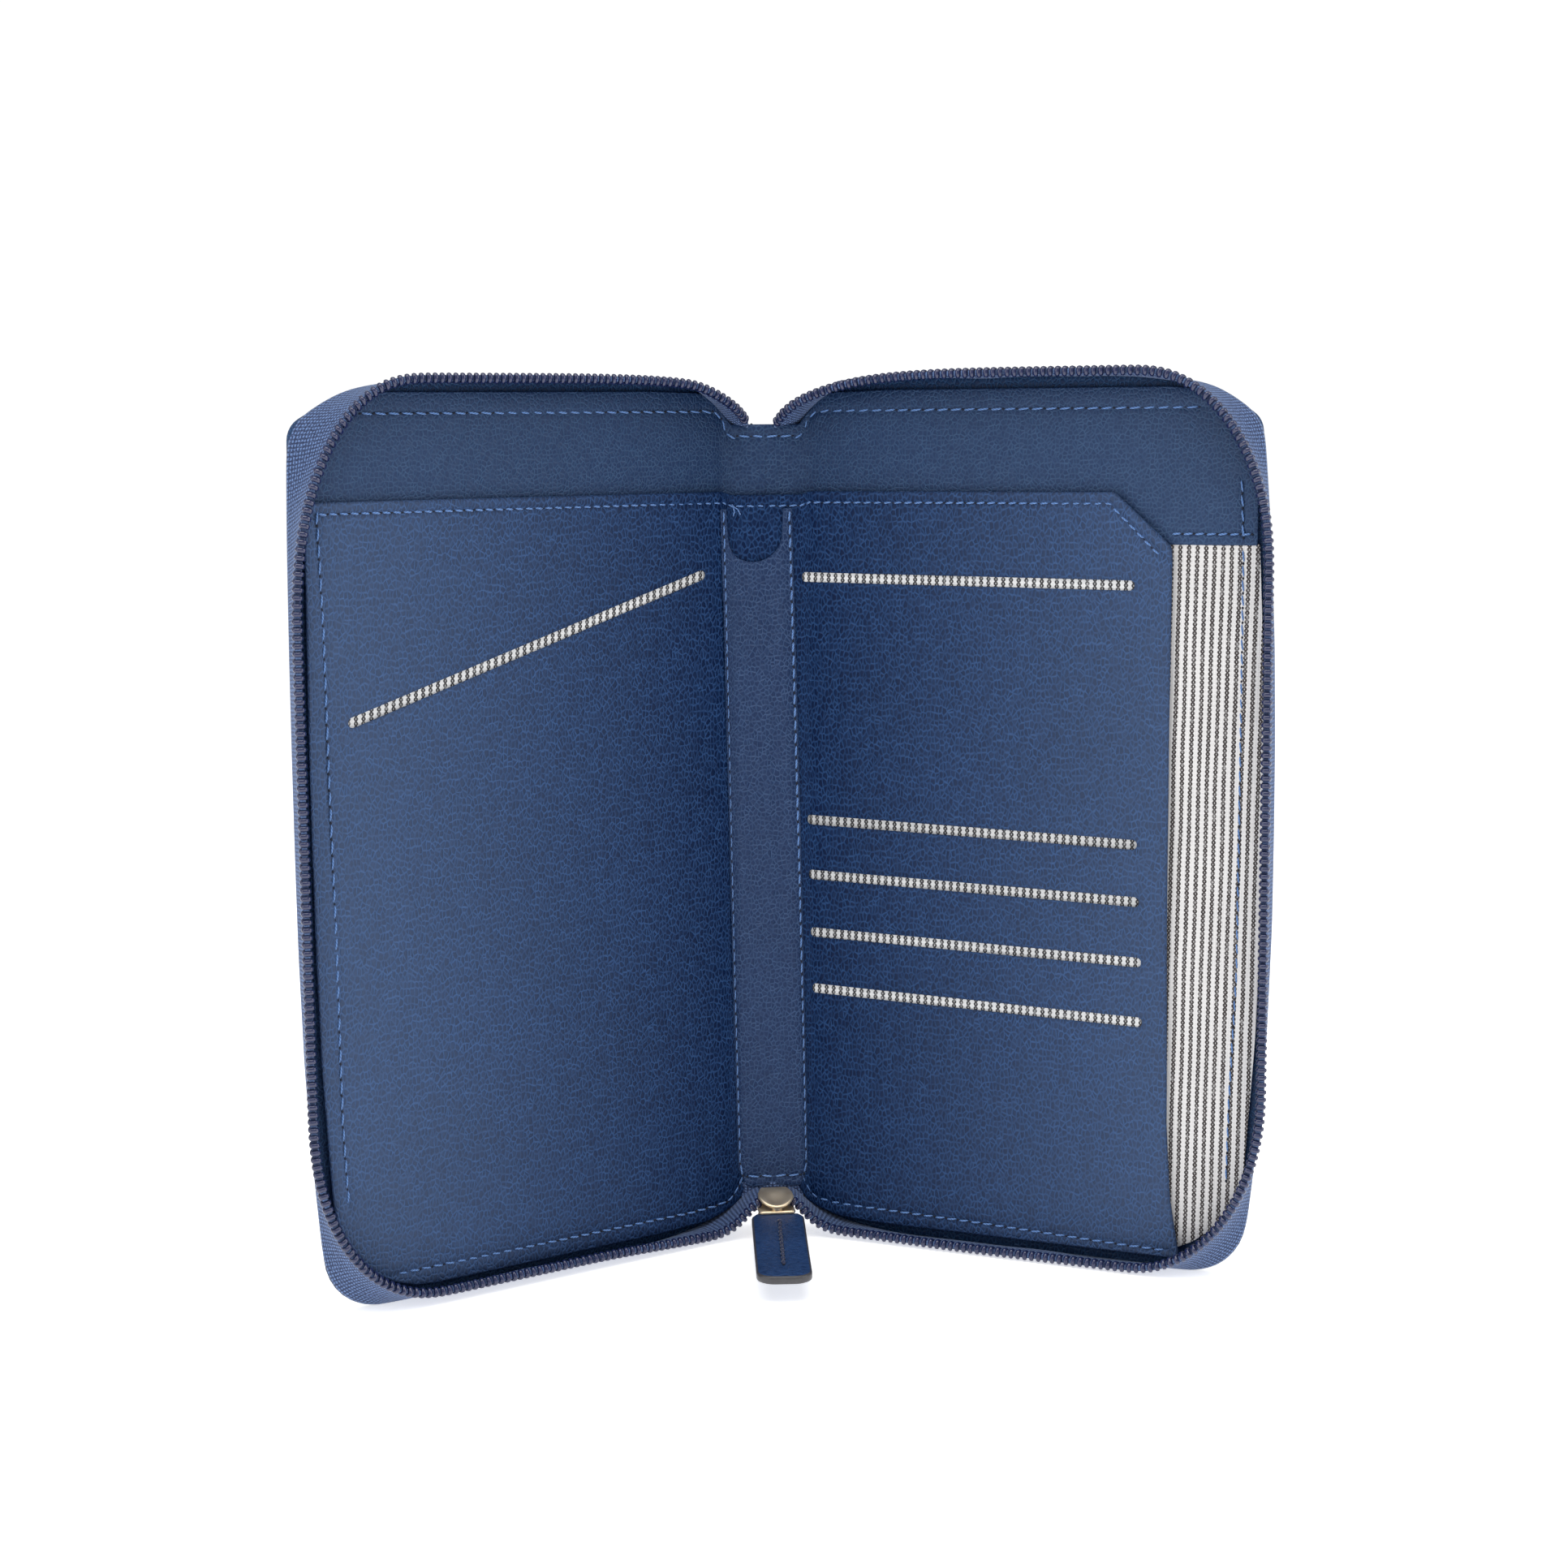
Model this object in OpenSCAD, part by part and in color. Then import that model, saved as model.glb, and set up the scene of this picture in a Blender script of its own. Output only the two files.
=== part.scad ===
// Zip-around passport holder, standing open on the bottom edges of its two covers.
// Each cover is built in its own frame: u runs from the fold to the free edge, z runs up,
// and c runs from the outer face of the leather towards the inside.

/* [Covers] */
// Width of one cover, from its fold line to its free edge
cover_w = 125; // [120:0.5:128]
// Height of a cover
cover_h = 226; // [224:0.5:230]
// Corner radius at the free edge
free_corner_r = 18; // [14:1:22]
// Corner radius next to the spine
spine_corner_r = 12; // [10:1:12]
// Fold of each cover from flat, as it stands
cover_angle = 30; // [20:1:40]

/* [Layers] */
// Thickness of the outer leather
shell_t = 1.2; // [1:0.1:1.2]
// Thickness of the stiffening board
board_t = 1.2; // [0.8:0.1:1.2]
// Thickness of the inside facing and lining
lining_t = 0.6; // [0.4:0.1:0.6]
// Thickness of the leather pocket panels
panel_t = 1.0; // [0.8:0.1:1]
// Thickness of the sewing thread
thread_t = 0.25; // [0.2:0.05:0.3]

/* [Pockets] */
// Height of the pocket mouths above the bottom edge
pocket_top = 197; // [192:1:200]
// Length of a card slot
slot_len = 91; // [88:1:92]
// Height of a slot's opening
slot_h = 2.5; // [2:0.1:3]
// Heights of the card slots
slot_z = [174.4, 110.0, 95.2, 80.0, 64.8];
// Depth of a card pocket below its slot
card_depth = 54; // [50:1:55]
// Outer edge of the right pocket panel at its mouth
panel_edge_top = 99.8; // [98:0.2:101]
// Outer edge of the right pocket panel at the bottom
panel_edge_bottom = 102.4; // [101:0.2:103]

/* [Spine] */
// Half the spine's width, measured at the folds
fold_x = 11; // [10.6:0.1:11.4]
// Height of the spine's bottom edge
spine_z0 = 12; // [11.5:0.5:13]
// Height of the spine's top edge
spine_z1 = 214; // [212:0.5:214]
// Half width of the parts between the closed covers
inner_half = 7.0; // [6.6:0.1:7]

/* [Zipper] */
// Width of the coil
coil_w = 2.4; // [2:0.1:2.6]
// Height of the coil's outer face above the outer leather
coil_c1 = 11.85; // [11:0.05:11.85]
// Radius of the zipper's outer corners
zip_corner_r = 40; // [38:1:42]
// Thickness of the zipper tape
tape_t = 0.9; // [0.7:0.1:1]

/* [Pull] */
// Length of the leather pull tab
tab_len = 53; // [45:1:55]
// Width of the leather pull tab
tab_w = 13.8; // [12:0.1:13.8]
// Thickness of the leather pull tab
tab_t = 2.1; // [1.8:0.1:2.1]

/* [Hidden] */
$fn = 48;

// Colours
leather = "#2b4070";
thread = "#6f93c8";
tape = "#2c4377";
coil = "#20306a";
ticking = "#d9d6cf";
board = "#8a8378";
gold = "#d9c08a";

// The model is shifted so that its box is centred on y = 0
depth_shift = 32;
// Fold line: its depth, and its height in the cover's layers
fold_y = 3.5;
fold_c = shell_t;

// Heights of the layers above the outer face of the leather
board_c = shell_t;
lining_c = board_c + board_t;
pocket_c = lining_c + lining_t;
panel_c = 3.7;
surface_c = panel_c + panel_t;
flange_t = 0.6;
coil_c0 = coil_c1 - coil_w + 0.05;
coil_c = (coil_c0 + coil_c1) / 2;
seam_w = 0.6;

// Edges of a cover's pieces: start at the fold, and line of the zipper's coil
piece_u0 = 1.0;
zip_u1 = cover_w - 0.2;
zip_z0 = 2.1;
zip_z1 = cover_h - 1.2;
zip_start_top = 13;
zip_start_bottom = 9;
inside_gap = 1.3;

// Right cover's outline points
chamfer_u = 84.5;
chamfer_z = 184.6;
facing_z = 184;
// Left cover's slanted slot, from its high end to its low end
slant_from = [7, 176];
slant_to = [110, 144];

// ---- Frames and profiles -------------------------------------------------------------

// Places children from a cover's frame, (u, z, c), on the left (-1) or right (1) side
module in_cover(side) {
    translate([0, depth_shift, 0])
        mirror([side < 0 ? 1 : 0, 0, 0])
        translate([fold_x, fold_y, 0])
        rotate([0, 0, -cover_angle])
        rotate([90, 0, 0])
        translate([0, 0, -fold_c])
        children();
}

// Places children from the spine's frame, (x, z, c)
module in_spine() {
    translate([0, depth_shift + fold_y, 0])
        rotate([90, 0, 0])
        translate([0, 0, -fold_c])
        children();
}

// A point of a cover's frame at rest, in the model's frame, on the right side
function cover_point(u, z, c) = [
    fold_x + u * cos(cover_angle) - (c - fold_c) * sin(cover_angle),
    depth_shift + fold_y - u * sin(cover_angle) - (c - fold_c) * cos(cover_angle),
    z
];

// Rectangle from (u0, z0) to (u1, z1), with radius r_in at its corners next to the spine
// and r_out at its free corners
module rounded(u0, u1, z0, z1, r_in, r_out) {
    translate([u0 + r_in, z0])
        square([u1 - r_out - u0 - r_in, z1 - z0]);
    translate([u0, z0 + r_in])
        square([r_in + 1, z1 - z0 - 2 * r_in]);
    translate([u1 - r_out - 1, z0 + r_out])
        square([r_out + 1, z1 - z0 - 2 * r_out]);
    for (z = [z0 + r_in, z1 - r_in])
        translate([u0 + r_in, z])
            circle(r_in);
    for (z = [z0 + r_out, z1 - r_out])
        translate([u1 - r_out, z])
            circle(r_out);
}

// Outline of the cover itself
module cover_outline(inset = 0) {
    rounded(piece_u0, cover_w - inset, inset, cover_h - inset, spine_corner_r,
        free_corner_r - inset);
}

// Outline at a distance out from the coil's centre line
module zip_outline(out) {
    rounded(piece_u0, zip_u1 + out, zip_z0 - out, zip_z1 + out, 1, zip_corner_r + out);
}

// Outline of the facing and lining, which lie inside the zipper's walls
module lining_outline(inset = 0) {
    rounded(piece_u0, zip_u1 - inside_gap - inset, zip_z0 + inside_gap + inset,
        zip_z1 - inside_gap - inset, spine_corner_r, zip_corner_r - inside_gap - inset);
}

// A band along the zipper's line, from the spine's corners round the free edge
module zip_band(out, inn) {
    difference() {
        zip_outline(out);
        zip_outline(-inn);
        translate([-5, cover_h / 2])
            square([5 + zip_start_top, cover_h]);
        translate([-5, -5])
            square([5 + zip_start_bottom, cover_h / 2 + 5]);
    }
}

// A slot outline with round ends between two points
module slot_2d(a, b, h) {
    run = b - a;
    translate(a)
        rotate(atan2(run[1], run[0])) {
            square_len = norm(run) - h;
            translate([h / 2, -h / 2])
                square([square_len, h]);
            for (x = [h / 2, h / 2 + square_len])
                translate([x, 0])
                    circle(h / 2);
        }
}

// Thread along a line from a to b in a frame's plane, lying on height c
module seam(a, b, c) {
    translate([0, 0, c])
        linear_extrude(thread_t)
        slot_2d(a, b, seam_w);
}

// ---- Pieces that both covers have ----------------------------------------------------

module cover_shell(side) {
    color(leather)
        in_cover(side)
        linear_extrude(shell_t)
        cover_outline();
}

module cover_board(side) {
    color(board)
        in_cover(side)
        translate([0, 0, board_c])
        linear_extrude(board_t)
        rounded(4, cover_w - 10, 10, cover_h - 10, 8, zip_corner_r - 10);
}

module zipper_tape(side) {
    color(tape)
        in_cover(side)
        translate([0, 0, shell_t]) {
            linear_extrude(flange_t)
                zip_band(tape_t / 2, 6.5);
            linear_extrude(coil_c0 - shell_t)
                zip_band(tape_t / 2, tape_t / 2);
        }
}

module zipper_coil(side) {
    color(coil)
        in_cover(side)
        translate([0, 0, coil_c0])
        linear_extrude(coil_c1 - coil_c0)
        zip_band(coil_w / 2, coil_w / 2);
}

// ---- Swept ends of the zipper --------------------------------------------------------

// The coil's centre line at the bottom of the spine, from a cover to the slider's mouth
end_gap = 0.7;
slider_mouth = [
    cover_point(zip_start_bottom - end_gap, zip_z0, coil_c),
    [12.0, depth_shift - 8.8, 2.6],
    [10.3, depth_shift - 8.6, 3.9],
    [8.6, depth_shift - 8.5, 5.8],
    [7.4, depth_shift - 8.5, 7.6],
    [6.4, depth_shift - 8.6, 9.1],
    [5.3, depth_shift - 8.7, 10.2]
];
tail_turns = [0, 14, 28, 42, 54, 64, 72];
tail_r = 11;
function top_tail_point(a) = cover_point(
    zip_start_top - end_gap - tail_r * sin(a), zip_z1 - tail_r * (1 - cos(a)), coil_c);
top_tail = concat([for (a = tail_turns) top_tail_point(a)],
    [[5.6, depth_shift - 4.7, 215.2], [3.9, depth_shift - 3.9, 214.2]]);
// The line where the tape is sewn in, round the inner corners
sewn_r = 11.5;
sewn_c = 1.35;
function sewn_bottom(a) = cover_point(
    zip_start_top - sewn_r * sin(a), 1.4 + sewn_r * (1 - cos(a)), sewn_c);
function sewn_top(a) = cover_point(
    zip_start_top - sewn_r * sin(a), cover_h - 1.4 - sewn_r * (1 - cos(a)), sewn_c);

function direction(v) = v / norm(v);
function tangent(p, i) = direction(p[min(i + 1, len(p) - 1)] - p[max(i - 1, 0)]);

// Closed solid through rings of points, each ring in the same order
module ringed_solid(rings) {
    n = len(rings[0]);
    m = len(rings);
    points = [for (ring = rings) each ring];
    sides = [for (i = [0 : m - 2], k = [0 : n - 1])
        let (a = i * n + k, b = i * n + (k + 1) % n)
        each [[a, b, a + n], [b, b + n, a + n]]];
    caps = [for (k = [1 : n - 2])
        each [[0, k + 1, k], [(m - 1) * n, (m - 1) * n + k, (m - 1) * n + k + 1]]];
    polyhedron(points, concat(sides, caps), convexity = 4);
}

// Round cord of radius r along points
module cord_along(p, r, corners = 8) {
    ringed_solid([for (i = [0 : len(p) - 1])
        let (t = tangent(p, i), a = direction(cross(t, [0, -1, 0.2])), b = cross(t, a))
        [for (k = [0 : corners - 1])
            p[i] + r * (a * cos(k * 360 / corners) + b * sin(k * 360 / corners))]]);
}

// Flat ribbon from the line p to the line q, of thickness t
module ribbon(p, q, t) {
    ringed_solid([for (i = [0 : len(p) - 1])
        let (across = direction(q[i] - p[i]), n = direction(cross(tangent(p, i), across)) * t / 2)
        [p[i] - n, q[i] - n, q[i] + n, p[i] + n]]);
}

module mirrored(side) {
    mirror([side < 0 ? 1 : 0, 0, 0])
        children();
}

module tape_ends(side) {
    sewn_turns_bottom = [21, 30, 39, 48, 57, 64, 70];
    color(tape)
        mirrored(side) {
            ribbon([for (a = sewn_turns_bottom) sewn_bottom(a)],
                [for (p = slider_mouth) p + [0, 1.3, 0.5]], tape_t * 0.8);
            ribbon([for (a = tail_turns) sewn_top(a * 0.95)],
                [for (a = tail_turns) top_tail_point(a) + [0, 1.4, -0.2]], tape_t * 0.8);
        }
}

module coil_ends(side) {
    color(coil)
        mirrored(side) {
            cord_along(slider_mouth, coil_w / 2);
            cord_along(top_tail, coil_w / 2);
        }
}

// ---- Left cover ----------------------------------------------------------------------

module left_facing() {
    color(leather)
        in_cover(-1)
        translate([0, 0, lining_c])
        linear_extrude(lining_t)
        intersection() {
            lining_outline();
            translate([0, facing_z])
                square([cover_w, cover_h]);
        }
}

module left_lining() {
    color(ticking)
        in_cover(-1)
        translate([0, 0, lining_c])
        linear_extrude(lining_t)
        intersection() {
            lining_outline();
            square([cover_w, facing_z]);
        }
}

// The panel is sewn down along its free edge and its bottom edge
module left_pocket_panel() {
    border = 5;
    color(leather)
        in_cover(-1) {
            translate([0, 0, panel_c])
                linear_extrude(panel_t)
                difference() {
                    intersection() {
                        lining_outline(0.3);
                        square([cover_w, pocket_top]);
                    }
                    slot_2d(slant_from, slant_to, slot_h);
                }
            translate([0, 0, pocket_c])
                linear_extrude(panel_c - pocket_c)
                intersection() {
                    difference() {
                        lining_outline(0.3);
                        translate([-1, 4 + border])
                            square([cover_w - 3 - 2 * border, cover_h]);
                    }
                    square([cover_w, pocket_top]);
                }
        }
}

module left_slot_pocket() {
    lip = 5;
    side_gap = 0.6;
    color(ticking)
        in_cover(-1)
        translate([0, 0, 3.3])
        linear_extrude(0.2)
        polygon([
            slant_from + [-3, lip], slant_to + [side_gap, lip],
            [slant_to[0] + side_gap, 60], [slant_from[0] - 3, 60]
        ]);
}

// ---- Right cover ---------------------------------------------------------------------

// The leather facing covers the top, and steps down beside the pocket's mouth
module right_facing() {
    color(leather)
        in_cover(1)
        translate([0, 0, lining_c])
        linear_extrude(lining_t)
        intersection() {
            lining_outline();
            translate([0, facing_z])
                square([cover_w, cover_h]);
        }
}

module right_lining() {
    color(ticking)
        in_cover(1)
        translate([0, 0, lining_c])
        linear_extrude(lining_t)
        intersection() {
            lining_outline();
            square([cover_w, facing_z]);
        }
}

module right_panel_outline() {
    intersection() {
        lining_outline(0.3);
        polygon([
            [0, 0], [panel_edge_bottom, 0], [panel_edge_top, chamfer_z],
            [chamfer_u, pocket_top], [0, pocket_top]
        ]);
    }
}

// The panel is sewn down along its bottom edge, and its free edge stays open
module right_pocket_panel() {
    border = 5;
    color(leather)
        in_cover(1) {
            translate([0, 0, panel_c])
                linear_extrude(panel_t)
                difference() {
                    right_panel_outline();
                    for (z = slot_z)
                        slot_2d([piece_u0 + 0.6, z], [piece_u0 + 0.6 + slot_len, z], slot_h);
                }
            translate([0, 0, pocket_c])
                linear_extrude(panel_c - pocket_c)
                intersection() {
                    right_panel_outline();
                    square([cover_w, 4 + border]);
                }
        }
}

// Lining pocket behind slot n, the lowest slot's pocket lying foremost
module card_pocket(n) {
    ply = 0.12;
    step = 0.15;
    lift = n == 1 ? 3 : n - 2;
    bottom = max(slot_z[n - 1] - card_depth, 4 + 6);
    color(ticking)
        in_cover(1)
        translate([piece_u0 + 1.5, bottom, pocket_c + 0.06 + lift * step])
        cube([slot_len, slot_z[n - 1] + 4 - bottom, ply]);
}

// ---- Threads -------------------------------------------------------------------------

top_seam_z = 217.3;
hem_seam_z = pocket_top - 3.6;
bottom_seam_z = 7.4;

module left_top_seam() {
    color(thread)
        in_cover(-1)
        seam([2.5, top_seam_z], [104, top_seam_z], pocket_c);
}

module left_hem_seam() {
    color(thread)
        in_cover(-1)
        seam([1.6, hem_seam_z], [119, hem_seam_z], surface_c);
}

module left_edge_seam() {
    color(thread)
        in_cover(-1)
        seam([115, 26], [117.6, hem_seam_z - 2], surface_c);
}

module left_bottom_seam() {
    color(thread)
        in_cover(-1)
        seam([8, bottom_seam_z], [99.5, bottom_seam_z], surface_c);
}

module right_top_seam() {
    color(thread)
        in_cover(1)
        seam([7, top_seam_z], [104, top_seam_z], pocket_c);
}

module right_hem_seam() {
    turn = [chamfer_u - 1.6, hem_seam_z];
    color(thread)
        in_cover(1)
        translate([0, 0, surface_c])
        linear_extrude(thread_t) {
            slot_2d([1.6, hem_seam_z], turn + [seam_w / 2, 0], seam_w);
            slot_2d(turn, [panel_edge_top - 0.8, chamfer_z - 3.6], seam_w);
        }
}

module right_facing_seam() {
    color(thread)
        in_cover(1)
        seam([panel_edge_top - 1, facing_z + 2.6], [120.5, facing_z + 2.6], pocket_c);
}

module right_lining_seam() {
    color(thread)
        in_cover(1)
        seam([115.4, 27], [118, facing_z - 1], pocket_c);
}

module right_bottom_seam() {
    color(thread)
        in_cover(1)
        seam([9.5, bottom_seam_z], [99.5, bottom_seam_z], surface_c);
}

// ---- Spine ---------------------------------------------------------------------------

// A plate of the spine, from c0 to c1, of half width half, from z0 to z1
module spine_plate(half, z0, z1, c0, c1) {
    translate([-half, z0, c0])
        cube([2 * half, z1 - z0, c1 - c0]);
}

module spine_shell() {
    color(leather)
        in_spine()
        spine_plate(fold_x - 1.2, spine_z0, spine_z1, 0, shell_t);
}

module spine_stay() {
    color(board)
        in_spine()
        spine_plate(inner_half - 0.5, spine_z0 + 4, spine_z1 - 4, shell_t, 1.8);
}

module spine_lining() {
    color(leather)
        in_spine()
        spine_plate(inner_half, spine_z0, spine_z1, 1.8, 2.6);
}

// The strip of the pocket panels that crosses the spine
module pocket_bridge() {
    color(leather)
        in_spine()
        spine_plate(inner_half, spine_z0 + 0.4, pocket_top - 1, 3.3, 4.2);
}

sleeve_c = 4.9;
sleeve_t = 0.8;
notch_r = 6.2;
notch_z = 184.7;

// The pen sleeve: a strip with a round notch in its mouth, sewn down along both sides
module pen_sleeve() {
    color(leather)
        in_spine() {
            translate([0, 0, sleeve_c])
                linear_extrude(sleeve_t)
                difference() {
                    translate([-inner_half, spine_z0 + 0.4])
                        square([2 * inner_half, pocket_top - 2.4 - spine_z0]);
                    translate([0, notch_z])
                        circle(notch_r);
                    translate([-notch_r, notch_z])
                        square([2 * notch_r, 30]);
                }
            for (x = [-inner_half, inner_half - 0.7])
                translate([x, spine_z0 + 0.4, 4.2])
                    cube([0.7, pocket_top - 2.4 - spine_z0, sleeve_c - 4.2]);
        }
}

module sleeve_seam(side) {
    color(thread)
        in_spine()
        seam([side * 6.55, spine_z0 + 2.5], [side * 6.55, pocket_top - 4], sleeve_c + sleeve_t);
}

module spine_top_seam() {
    color(thread)
        in_spine()
        seam([-6.4, spine_z1 - 2.9], [6.4, spine_z1 - 2.9], 2.6);
}

module spine_bottom_seam() {
    color(thread)
        in_spine()
        seam([-5.6, spine_z0 + 2.9], [5.6, spine_z0 + 2.9], sleeve_c + sleeve_t);
}

// ---- Slider and pull -----------------------------------------------------------------

pivot_y = -7.5;
pivot_z = 6.5;
wire_r = 0.6;
plate_t = 0.95;
lower_plate_z = 7.8;
upper_plate_z = 11.5;
throat_y = -6.5;
tail_y = -2.2;
nose_y = -8.2;
nose_r = 4.8;

// Plan of a slider plate behind its nose
module slider_tail_2d(half) {
    polygon([
        [-half, nose_y], [half, nose_y], [half, throat_y],
        [3.5, tail_y], [-3.5, tail_y], [-half, throat_y]
    ]);
}

module slider() {
    flange_h = 0.95;
    ear_w = 1.1;
    color(gold)
        translate([0, depth_shift, 0]) {
            translate([0, 0, upper_plate_z])
                linear_extrude(plate_t) {
                    slider_tail_2d(4.6);
                    translate([0, nose_y])
                        circle(nose_r);
                }
            difference() {
                translate([0, 0, lower_plate_z])
                    linear_extrude(plate_t) {
                        slider_tail_2d(4.9);
                        translate([-4.9, -12.4])
                            square([9.8, 5]);
                    }
                translate([0, pivot_y, pivot_z])
                    rotate([0, 90, 0])
                    cylinder(r = wire_r + 0.08, h = 12, center = true);
            }
            translate([0, -11, lower_plate_z + plate_t - 0.1])
                cylinder(r = 1.5, h = upper_plate_z - lower_plate_z - plate_t + 0.2);
            for (x = [-3.5, 2.8]) {
                translate([x, -6.2, lower_plate_z + plate_t - 0.1])
                    cube([0.7, 4, flange_h + 0.1]);
                translate([x, -6.2, upper_plate_z - flange_h])
                    cube([0.7, 4, flange_h + 0.1]);
            }
            difference() {
                for (x = [-2.4, 2.4 - ear_w])
                    translate([x, pivot_y - 1.4, pivot_z - 1.15])
                        cube([ear_w, 2.8, lower_plate_z - pivot_z + 1.25]);
                translate([0, pivot_y, pivot_z])
                    rotate([0, 90, 0])
                    cylinder(r = wire_r + 0.08, h = 12, center = true);
            }
        }
}

loop_half = 4.2;
loop_front_y = -13.2;
tab_z = 5.25;
tab_y0 = -10.6;
bar_z = tab_z + tab_t / 2;

// Wire loop: the rear bar turns in the slider's ears, the front bar holds the leather
module pull_loop() {
    slope = atan2(bar_z - pivot_z, loop_front_y - pivot_y);
    side_len = norm([bar_z - pivot_z, loop_front_y - pivot_y]);
    color(gold)
        translate([0, depth_shift, 0]) {
            for (end = [[pivot_y, pivot_z], [loop_front_y, bar_z]]) {
                translate([0, end[0], end[1]])
                    rotate([0, 90, 0])
                    cylinder(r = wire_r, h = 2 * loop_half, center = true);
                for (x = [-loop_half, loop_half])
                    translate([x, end[0], end[1]])
                        sphere(wire_r);
            }
            for (x = [-loop_half, loop_half])
                translate([x, pivot_y, pivot_z])
                    rotate([slope - 180, 0, 0])
                    rotate([90, 0, 0])
                    cylinder(r = wire_r, h = side_len);
        }
}

// Leather strip folded round the loop's front bar, with a cut at each side of the fold
module pull_tab() {
    end_r = 3.4;
    cut_w = 1.8;
    y1 = tab_y0 - tab_len;
    color(leather)
        translate([0, depth_shift, 0])
        difference() {
            translate([0, 0, tab_z])
                linear_extrude(tab_t) {
                    polygon([
                        [-5.6, tab_y0], [5.6, tab_y0], [tab_w / 2, tab_y0 - 3],
                        [tab_w / 2, y1 + end_r], [-tab_w / 2, y1 + end_r], [-tab_w / 2, tab_y0 - 3]
                    ]);
                    translate([end_r - tab_w / 2, y1])
                        square([tab_w - 2 * end_r, end_r + 1]);
                    for (x = [end_r - tab_w / 2, tab_w / 2 - end_r])
                        translate([x, y1 + end_r])
                            circle(end_r);
                }
            for (x = [-loop_half - cut_w / 2, loop_half - cut_w / 2])
                translate([x, loop_front_y - 1, tab_z - 1])
                    cube([cut_w, 8, tab_t + 2]);
            translate([0, loop_front_y, bar_z])
                rotate([0, 90, 0])
                cylinder(r = wire_r + 0.05, h = 2 * loop_half, center = true);
        }
}

// Row of separate stitches along the middle of the tab
module pull_tab_seam() {
    pitch = 3.1;
    count = 12;
    color(thread)
        translate([0, depth_shift, tab_z + tab_t])
        for (i = [0 : count - 1])
            translate([-0.4, tab_y0 - 8 - pitch * (i + 1) + 0.6, 0])
                cube([0.8, 2.3, 0.2]);
}

// ---- Assembly ------------------------------------------------------------------------

spine_shell();
spine_stay();
spine_lining();
pocket_bridge();
pen_sleeve();
sleeve_seam(-1);  // sleeve_left_seam
sleeve_seam(1);  // sleeve_right_seam
spine_top_seam();
spine_bottom_seam();
slider();
pull_loop();
pull_tab();
pull_tab_seam();
cover_shell(-1);  // left_shell
cover_board(-1);  // left_board
left_facing();
left_lining();
left_pocket_panel();
left_slot_pocket();
zipper_tape(-1);  // left_zipper_tape
zipper_coil(-1);  // left_zipper_coil
tape_ends(-1);  // left_tape_ends
coil_ends(-1);  // left_coil_ends
left_top_seam();
left_hem_seam();
left_edge_seam();
left_bottom_seam();
cover_shell(1);  // right_shell
cover_board(1);  // right_board
right_facing();
right_lining();
right_pocket_panel();
card_pocket(1);  // card_pocket_1
card_pocket(2);  // card_pocket_2
card_pocket(3);  // card_pocket_3
card_pocket(4);  // card_pocket_4
card_pocket(5);  // card_pocket_5
zipper_tape(1);  // right_zipper_tape
zipper_coil(1);  // right_zipper_coil
tape_ends(1);  // right_tape_ends
coil_ends(1);  // right_coil_ends
right_top_seam();
right_hem_seam();
right_facing_seam();
right_lining_seam();
right_bottom_seam();
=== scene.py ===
"""The looks of a zip-around passport holder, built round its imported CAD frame.

Lengths in this script are in millimetres and become metres when a mesh is made.
A flat piece is drawn in (s, z): s is the distance from the spine's centre line, measured
along the opened leather, and z is the height. c is the height above the outer face of the
leather, towards the inside. Each function that makes a cover's piece takes its side, -1 for
the left and 1 for the right.
"""
import math

import bmesh
import bpy
import numpy as np
from mathutils import Matrix
from mathutils.geometry import delaunay_2d_cdt


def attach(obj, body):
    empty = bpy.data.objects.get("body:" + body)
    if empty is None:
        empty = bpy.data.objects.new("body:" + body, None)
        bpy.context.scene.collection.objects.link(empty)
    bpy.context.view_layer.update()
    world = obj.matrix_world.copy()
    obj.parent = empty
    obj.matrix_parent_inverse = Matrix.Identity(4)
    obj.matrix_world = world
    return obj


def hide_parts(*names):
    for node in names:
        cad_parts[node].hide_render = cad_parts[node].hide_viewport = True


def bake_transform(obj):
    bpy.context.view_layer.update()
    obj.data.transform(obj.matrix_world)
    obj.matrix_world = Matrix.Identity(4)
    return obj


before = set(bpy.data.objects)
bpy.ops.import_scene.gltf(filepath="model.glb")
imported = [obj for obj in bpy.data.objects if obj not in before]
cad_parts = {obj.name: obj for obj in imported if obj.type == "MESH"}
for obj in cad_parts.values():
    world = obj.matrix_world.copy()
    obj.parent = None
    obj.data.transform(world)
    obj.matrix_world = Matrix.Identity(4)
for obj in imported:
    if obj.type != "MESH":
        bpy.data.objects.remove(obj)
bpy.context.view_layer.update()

MM = 0.001
BODY = {-1: "left_cover", 1: "right_cover"}
SIDE_NAME = {-1: "left", 1: "right"}

# The fold of each cover, as the CAD has it
FOLD_X = 11.0
FOLD_Y = 35.5
FOLD_C = 1.2
FOLD_ANGLE = math.radians(30)
# The leather bends between these distances from the spine's centre line
BEND_START = 7.5
BEND_END = 14.5

# Covers, heights and layers
COVER_H = 226.0
FREE_EDGE = FOLD_X + 124.0
# How far the free edges are drawn in at their bottom and top corners
EDGE_DRAW = {-1: (6.0, 1.5), 1: (8.0, 5.5)}
SPINE_Z0 = 11.8
SPINE_Z1 = 214.0
SHELL_T = 1.2
LINING_C = 2.4
FACE_C = 3.0
PANEL_C = 3.7
SURFACE_C = 4.7
SLEEVE_C = 4.85
SLEEVE_TOP_C = 5.7

# Pockets
POCKET_TOP = 197.0
SLOT_H = 2.5
# How far a hem's stitches lie from its edge
HEM_SEAM = 2.8
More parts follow.
